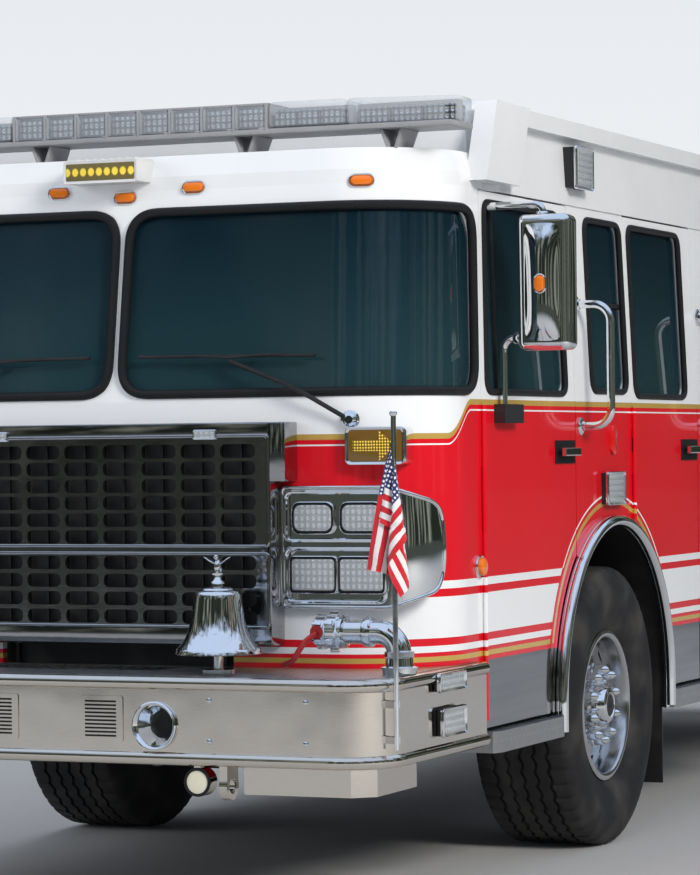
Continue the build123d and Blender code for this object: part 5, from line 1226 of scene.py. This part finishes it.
def carve(shape, cutter):
    """Take one closed bmesh away from another and give back what is left."""
    for part in (shape, cutter):
        bmesh.ops.recalc_face_normals(part, faces=part.faces)
    body, tool = in_scene("carve", shape), in_scene("carve", cutter)
    cut = body.modifiers.new("cut", "BOOLEAN")
    cut.object = tool
    cut.solver = "EXACT"
    left = bmesh.new()
    left.from_mesh(after_modifiers(body))
    bpy.data.objects.remove(body)
    bpy.data.objects.remove(tool)
    return left


# Columns: name, body, node, middle, half width, disc, hub end, cap end, axle distance, axle height
for name, body, node, middle, half, disc, hub_end, cap_end, axle, height in (
    ("front", "front_wheel", "wheel_front", 1.012, 0.1778, 1.085, 1.150, 1.205, axle_back, 0.562),
    ("rear", "rear_wheels", "wheel_rear", 1.085, 0.1153, 0.973, 1.040, 1.135, rear_axle, 0.538),
):
    for side, hand in hands:
        rider = f"{body}_{hand}"
        centre, axis = Vector((0, nose + axle, height)), Vector((side, 0, 0))
        outer, inner, face = middle + half, middle - half, disc + 0.044
        barrel = [(inner, 0.304), (inner, 0.272), (inner + 0.006, 0.268), (disc - 0.01, 0.268),
                  (disc + 0.002, 0.262), (disc + 0.030, 0.200), (disc + 0.026, 0.190), (disc + 0.026, 0.100),
                  (face, 0.100), (face, 0.196), (disc + 0.038, 0.206), (disc + 0.018, 0.258),
                  (disc + 0.020, 0.266), (disc + 0.034, 0.271), (outer - 0.012, 0.272),
                  (outer - 0.003, 0.277), (outer, 0.284), (outer, 0.298), (outer - 0.003, 0.304),
                  (outer - 0.008, 0.304), (outer - 0.010, 0.286), (inner + 0.010, 0.286),
                  (inner + 0.008, 0.304)]
        rim, holes, bright, dark = bmesh.new(), bmesh.new(), bmesh.new(), bmesh.new()
        add_lathe(rim, barrel, centre, axis, 80)
        for index in range(10):
            spot = tilted(centre, index * 36) @ Vector((side * (disc + 0.020), 0, 0.228))
            bmesh.ops.create_cone(holes, cap_ends=True, segments=28, radius1=0.025, radius2=0.025, depth=0.12,
                                  matrix=tilted(spot, 90, "Y"))
        rim = carve(rim, holes)
        # A bullet cover over each nut, in a ring on the disc and a smaller ring on the hub
        for count, ring, radius, tall, stand in ((10, 0.1425, 0.0225, 0.072, face),
                                                 (8, 0.098, 0.0105, 0.026, hub_end)):
            cover = [(0, 0), (0, radius * 1.25), (0.004, radius * 1.25), (0.008, radius),
                     (tall * 0.55, radius * 0.92), (tall * 0.82, radius * 0.66), (tall * 0.96, radius * 0.3),
                     (tall, 0)]
            for index in range(count):
                angle = (index + 0.5) * math.tau / count
                spot = centre + Vector((side * stand, math.cos(angle) * ring, math.sin(angle) * ring))
                add_lathe(bright, cover, spot, axis, 18)
        add_lathe(rim, [(disc - 0.06, 0), (disc - 0.06, 0.108), (hub_end - 0.006, 0.112), (hub_end, 0.108),
                        (hub_end, 0)], centre, axis, 56)
        add_lathe(bright, [(hub_end - 0.002, 0), (hub_end - 0.002, 0.084), (hub_end + 0.010, 0.082),
                           (cap_end - 0.020, 0.076), (cap_end - 0.006, 0.070), (cap_end, 0.060),
                           (cap_end, 0.050), (cap_end - 0.006, 0.046), (cap_end - 0.006, 0)],
                  centre, axis, 56)
        add_lathe(dark, [(cap_end - 0.0065, 0), (cap_end - 0.0065, 0.045), (cap_end - 0.002, 0.043),
                         (cap_end - 0.002, 0.012), (cap_end + 0.001, 0.010), (cap_end + 0.001, 0)],
                  centre, axis, 32)
        if name == "rear":
            # The inner rim and the drum between the pair
            add_lathe(rim, [(0.625, 0.304), (0.625, 0.274), (0.855, 0.274), (0.855, 0.304), (0.849, 0.304),
                            (0.847, 0.286), (0.633, 0.286), (0.631, 0.304)], centre, axis, 64)
            drum = [(0.640, 0), (0.640, 0.200), (0.900, 0.205), (0.905, 0.262), (0.962, 0.262), (0.962, 0)]
        else:
            drum = [(1.006, 0), (1.006, 0.205), (1.081, 0.205), (1.090, 0.110), (1.090, 0)]
        add_lathe(dark, drum, centre, axis, 56)
        piece = settle(f"rim_{name}_{hand}", rim, wheel_metal, rider, crease=38)
        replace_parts(piece, f"{node}_{hand}")
        settle(f"nut_covers_{name}_{hand}", bright, chrome, rider)
        settle(f"hub_core_{name}_{hand}", dark, chassis_black, rider)


# Body: aluminium compartments in the cab's red and white with its lines, and slanted warning stripes of red
# and lime film across the rear face.
body_paint = Finish("body_paint", Coat_Weight=0.5, Coat_Roughness=0.03)
z, back = body_paint.z, body_paint.back
lines, leaf, red, white = stripes(body_paint, (0.10, 0.045, 0.01), (0.80, 0.50, 0.10),
                                  back * 62.0 + z * 62.0, 0.25, 0.6)
gold = z.within(0.855, 0.873) + z.within(1.767, 1.787)
slant = (((abs(body_paint.x) - z) * 3.2) % 1.0) > 0.5
film = body_paint.mix((0.70, 0.012, 0.012), (0.62, 0.78, 0.05), slant)
painted = body_paint.mix(red, white, lines + z.within(1.743, 1.751) + (z > 1.777))
inner = (abs(body_paint.x) < 1.236) * (back < 9.045)
colour = body_paint.mix(body_paint.mix(painted, leaf, gold), film, back > 9.048)
body_paint.set(Base_Color=body_paint.mix(colour, (0.34, 0.345, 0.35), inner),
               Roughness=body_paint.noise(9, 4) * 0.08 + 0.16 + inner * 0.3)
body_paint.bump(body_paint.noise(160, 2), 0.0004, 0.12)
dress(body_paint, "side_bodies")

# Roll-up shutters: satin aluminium slats that hook into one another, each with a shallow crown.
shutter_metal = Finish("shutter_aluminium", Metallic=1.0)
slat = (shutter_metal.z * 24.0).cell()
streak = shutter_metal.noise(30, 4, (1, 0.03, 1))
satin = shutter_metal.mix((0.50, 0.50, 0.51), (0.62, 0.62, 0.63), streak)
shutter_metal.set(Base_Color=shutter_metal.mix(satin, (0.08, 0.08, 0.08), slat > 0.46),
                  Roughness=streak * 0.15 + 0.24)
shutter_metal.bump(1 - slat ** 4 * 14.0, 0.004, 0.8)
dress(shutter_metal, "shutters")
bed_metal = bright_metal("bed_aluminium", (0.48, 0.48, 0.48), (0.60, 0.60, 0.60), 0.3, (1, 8, 1), 0.15)
dress(bed_metal, "hose_bed", "pump_house")

# Frames round the compartments, rub rails along the sills, lift bars on the shutters, and a rolled lip round
# each rear wheel opening.
frames, bars = bmesh.new(), bmesh.new()
for side in (-1, 1):
    for start, end, low, high in ((5.240, 6.520, 0.660, 2.080), (6.600, 7.880, 1.270, 2.080),
                                  (7.960, 8.990, 0.660, 2.080)):
        for first, second, floor, top in ((start - 0.018, start + 0.004, low - 0.018, high + 0.018),
                                          (end - 0.004, end + 0.018, low - 0.018, high + 0.018),
                                          (start, end, high - 0.004, high + 0.018),
                                          (start, end, low - 0.018, low + 0.004)):
            add_box(frames, (side * 1.232, nose + first, floor), (side * 1.251, nose + second, top))
        add_box(bars, (side * 1.2405, nose + start + 0.10, low + 0.034),
                (side * 1.2490, nose + end - 0.10, low + 0.050))
    for start, end in ((5.190, 6.560), (7.910, 9.040)):
        add_box(frames, (side * 1.244, nose + start, 0.606), (side * 1.262, nose + end, 0.640), 0.005)
    middle = Vector((side * 1.247, nose + rear_axle, 0.598))
    angles = [math.radians(angle) for angle in range(0, 181, 9)]
    arch = [middle + Vector((0, math.cos(angle), math.sin(angle))) * 0.652 for angle in angles]
    add_rod(frames, arch, 0.013)
settle("compartment_frames", frames, brushed_steel)
settle("lift_bars", bars, chrome)


# Pump panels: brushed sheet with capped ports, pull handles, and round gauges with plain dials on a board.
ports, caps, dials, rings = bmesh.new(), bmesh.new(), bmesh.new(), bmesh.new()
for side in (-1, 1):
    axis = Vector((side, 0, 0))
    for back, z, radius in ((4.330, 0.900, 0.088), (4.800, 0.830, 0.048), (4.990, 1.120, 0.048),
                            (4.200, 1.260, 0.048)):
        seat = Vector((side * 1.240, nose + back, z))
        add_lathe(ports, [(0, radius), (0, radius * 1.45), (0.008, radius * 1.45), (0.011, radius * 1.20),
                          (0.020, radius * 1.10), (0.020, radius)], seat, axis)
        add_lathe(caps, [(0.028, radius * 0.9), (0.028, radius * 1.14), (0.034, radius * 1.18),
                         (0.066, radius * 1.18), (0.075, radius * 1.08), (0.081, radius * 0.9),
                         (0.081, radius * 0.55), (0.077, radius * 0.50), (0.077, 0), (0.028, 0)], seat, axis)
        for index in range(6):
            turned = tilted(seat, index * 60)
            add_box(caps, (side * 0.036, -radius * 0.14, radius * 1.14),
                    (side * 0.064, radius * 0.14, radius * 1.34), 0.003, turned)
            spot = turned @ Vector((side * 0.008, radius * 0.66, radius * 1.14))
            add_bolt(ports, 0.007, 0.006, spot, axis, 10)
    for index in range(6):
        # Pull handles in a row over the ports, each a rod with a moulded grip
        seat = Vector((side * 1.240, nose + 4.20 + index * 0.145, 1.435))
        add_lathe(rings, [(0, 0), (0, 0.026), (0.006, 0.026), (0.008, 0.010), (0.040, 0.010), (0.040, 0)],
                  seat, axis, 24)
        add_box(caps, (side * 0.034, -0.042, -0.011), (side * 0.052, 0.042, 0.011), 0.006,
                Matrix.Translation(seat))
    # Two large master gauges on the board, then five smaller ones under them
    gauges = [(4.46 + index * 0.26, 1.765, 0.066) for index in range(2)]
    gauges += [(4.35 + index * 0.12, 1.610, 0.038) for index in range(5)]
    for back, z, radius in gauges:
        seat = Vector((side * 1.254, nose + back, z))
        add_lathe(rings, [(0, radius * 0.88), (0, radius * 1.1), (0.010, radius * 1.1),
                          (0.014, radius * 1.02), (0.014, radius * 0.92), (0.006, radius * 0.88)],
                  seat, axis, 36)
        add_lathe(dials, [(0.001, 0), (0.001, radius * 0.90), (0.005, radius * 0.90), (0.005, 0)],
                  seat, axis, 32)
dial_face = Finish("dial_face")
mottle = dial_face.noise(8, 2)
dial_face.set(Base_Color=dial_face.mix((0.72, 0.72, 0.70), (0.80, 0.80, 0.78), mottle),
              Roughness=mottle * 0.1 + 0.3)
dial_face.bump(dial_face.noise(60, 2), 0.0005, 0.2)
settle("port_flanges", ports, brushed_steel)
settle("port_caps", caps, chrome)
settle("gauge_rings", rings, chrome)
settle("gauge_dials", dials, dial_face)


# Seats: foam cushions and backs under coated cloth, on painted steel boxes. One cushion and one back are
# blown up as cloth and stand in all six seats.
seat_cloth = Finish("seat_cloth", Sheen_Weight=0.2)
weave = (seat_cloth.x * 300.0).cell() + ((seat_cloth.y + seat_cloth.z) * 300.0).cell()
charcoal = seat_cloth.mix((0.025, 0.026, 0.030), (0.050, 0.052, 0.058), seat_cloth.noise(18, 4))
seat_cloth.set(Base_Color=charcoal, Roughness=weave * 0.1 + 0.65)
seat_cloth.bump(weave, 0.0008, 0.5)


def stuffed(size):
    """A cushion of about this size: a soft-edged block, remeshed and swollen as cloth, as a mesh."""
    swell_limit = 0.010
    block = bmesh.new()
    half = Vector(size) / 2 - Vector((0.012, 0.012, 0.012))
    add_box(block, -half, half, 0.022)
    holder = in_scene("cushion", block)
    grain = holder.modifiers.new("grain", "REMESH")
    grain.mode = "VOXEL"
    grain.voxel_size = 0.014
    mesh = after_modifiers(holder)
    holder.modifiers.clear()
    holder.data = mesh
    rest = [vertex.co.copy() for vertex in mesh.vertices]
    full = let_move(holder, 20, weight=0, use_pressure=True, uniform_pressure_force=4)
    for vertex, swollen, base in zip(mesh.vertices, full.vertices, rest):
        move = swollen.co - base
        vertex.co = base + move * min(1, swell_limit / max(move.length, 1e-6))
    bpy.data.objects.remove(holder)
    return mesh


cushion, back_pad = stuffed((0.48, 0.44, 0.12)), stuffed((0.46, 0.10, 0.64))
soft, boxes = bmesh.new(), bmesh.new()
for x, front, rear in ((-0.72, 1.35, 1.80), (0.72, 1.35, 1.80), (-0.90, 3.40, 3.85), (-0.30, 3.40, 3.85),
                       (0.30, 3.40, 3.85), (0.90, 3.40, 3.85)):
    for mesh, place in ((cushion, (x, nose + front + 0.215, 1.360)),
                        (back_pad, (x, nose + rear - 0.052, 1.755))):
        moved = mesh.copy()
        moved.transform(Matrix.Translation(place))
        soft.from_mesh(moved)
        bpy.data.meshes.remove(moved)
    add_box(boxes, (x - 0.160, nose + front + 0.08, 0.956), (x + 0.160, nose + rear - 0.04, 1.302), 0.006)
seat_piece = settle("seat_cushions", soft, seat_cloth, crease=70)
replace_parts(seat_piece, "seats")
settle("seat_boxes", boxes, chassis_black)


# Dash: grained black plastic with a hooded cluster of plain dials and rows of switches before the driver.
dash_plastic = Finish("dash_plastic", Base_Color=(0.022, 0.022, 0.024))
dash_plastic.set(Roughness=dash_plastic.noise(30, 4) * 0.2 + 0.5)
dash_plastic.bump(dash_plastic.noise(300, 4), 0.0006, 0.5)
dress(dash_plastic, "dash")
shape, rings, faces = bmesh.new(), bmesh.new(), bmesh.new()
cluster = tilted((0.720, nose + 0.905, 1.742), -32)
axis = (cluster.to_3x3() @ Vector((0, 0, 1))).normalized()
add_box(shape, (-0.25, -0.075, -0.004), (0.25, 0.075, 0.022), 0.010, cluster)
for index in range(4):
    spot = cluster @ Vector((-0.165 + index * 0.11, 0, 0.022))
    add_lathe(rings, [(0, 0.038), (0, 0.048), (0.006, 0.048), (0.006, 0.040)], spot, axis, 28)
    add_lathe(faces, [(0, 0), (0, 0.039), (0.002, 0.039), (0.002, 0)], spot, axis, 28)
for index in range(8):
    switch = cluster @ Matrix.Translation((-0.60 + index * 0.036, 0, 0.004))
    add_box(shape, (-0.013, -0.020, 0), (0.013, 0.020, 0.012), 0.003, switch)
settle("dash_cluster", shape, dash_plastic)
settle("dash_rings", rings, chrome)
settle("dash_dials", faces, dial_face)
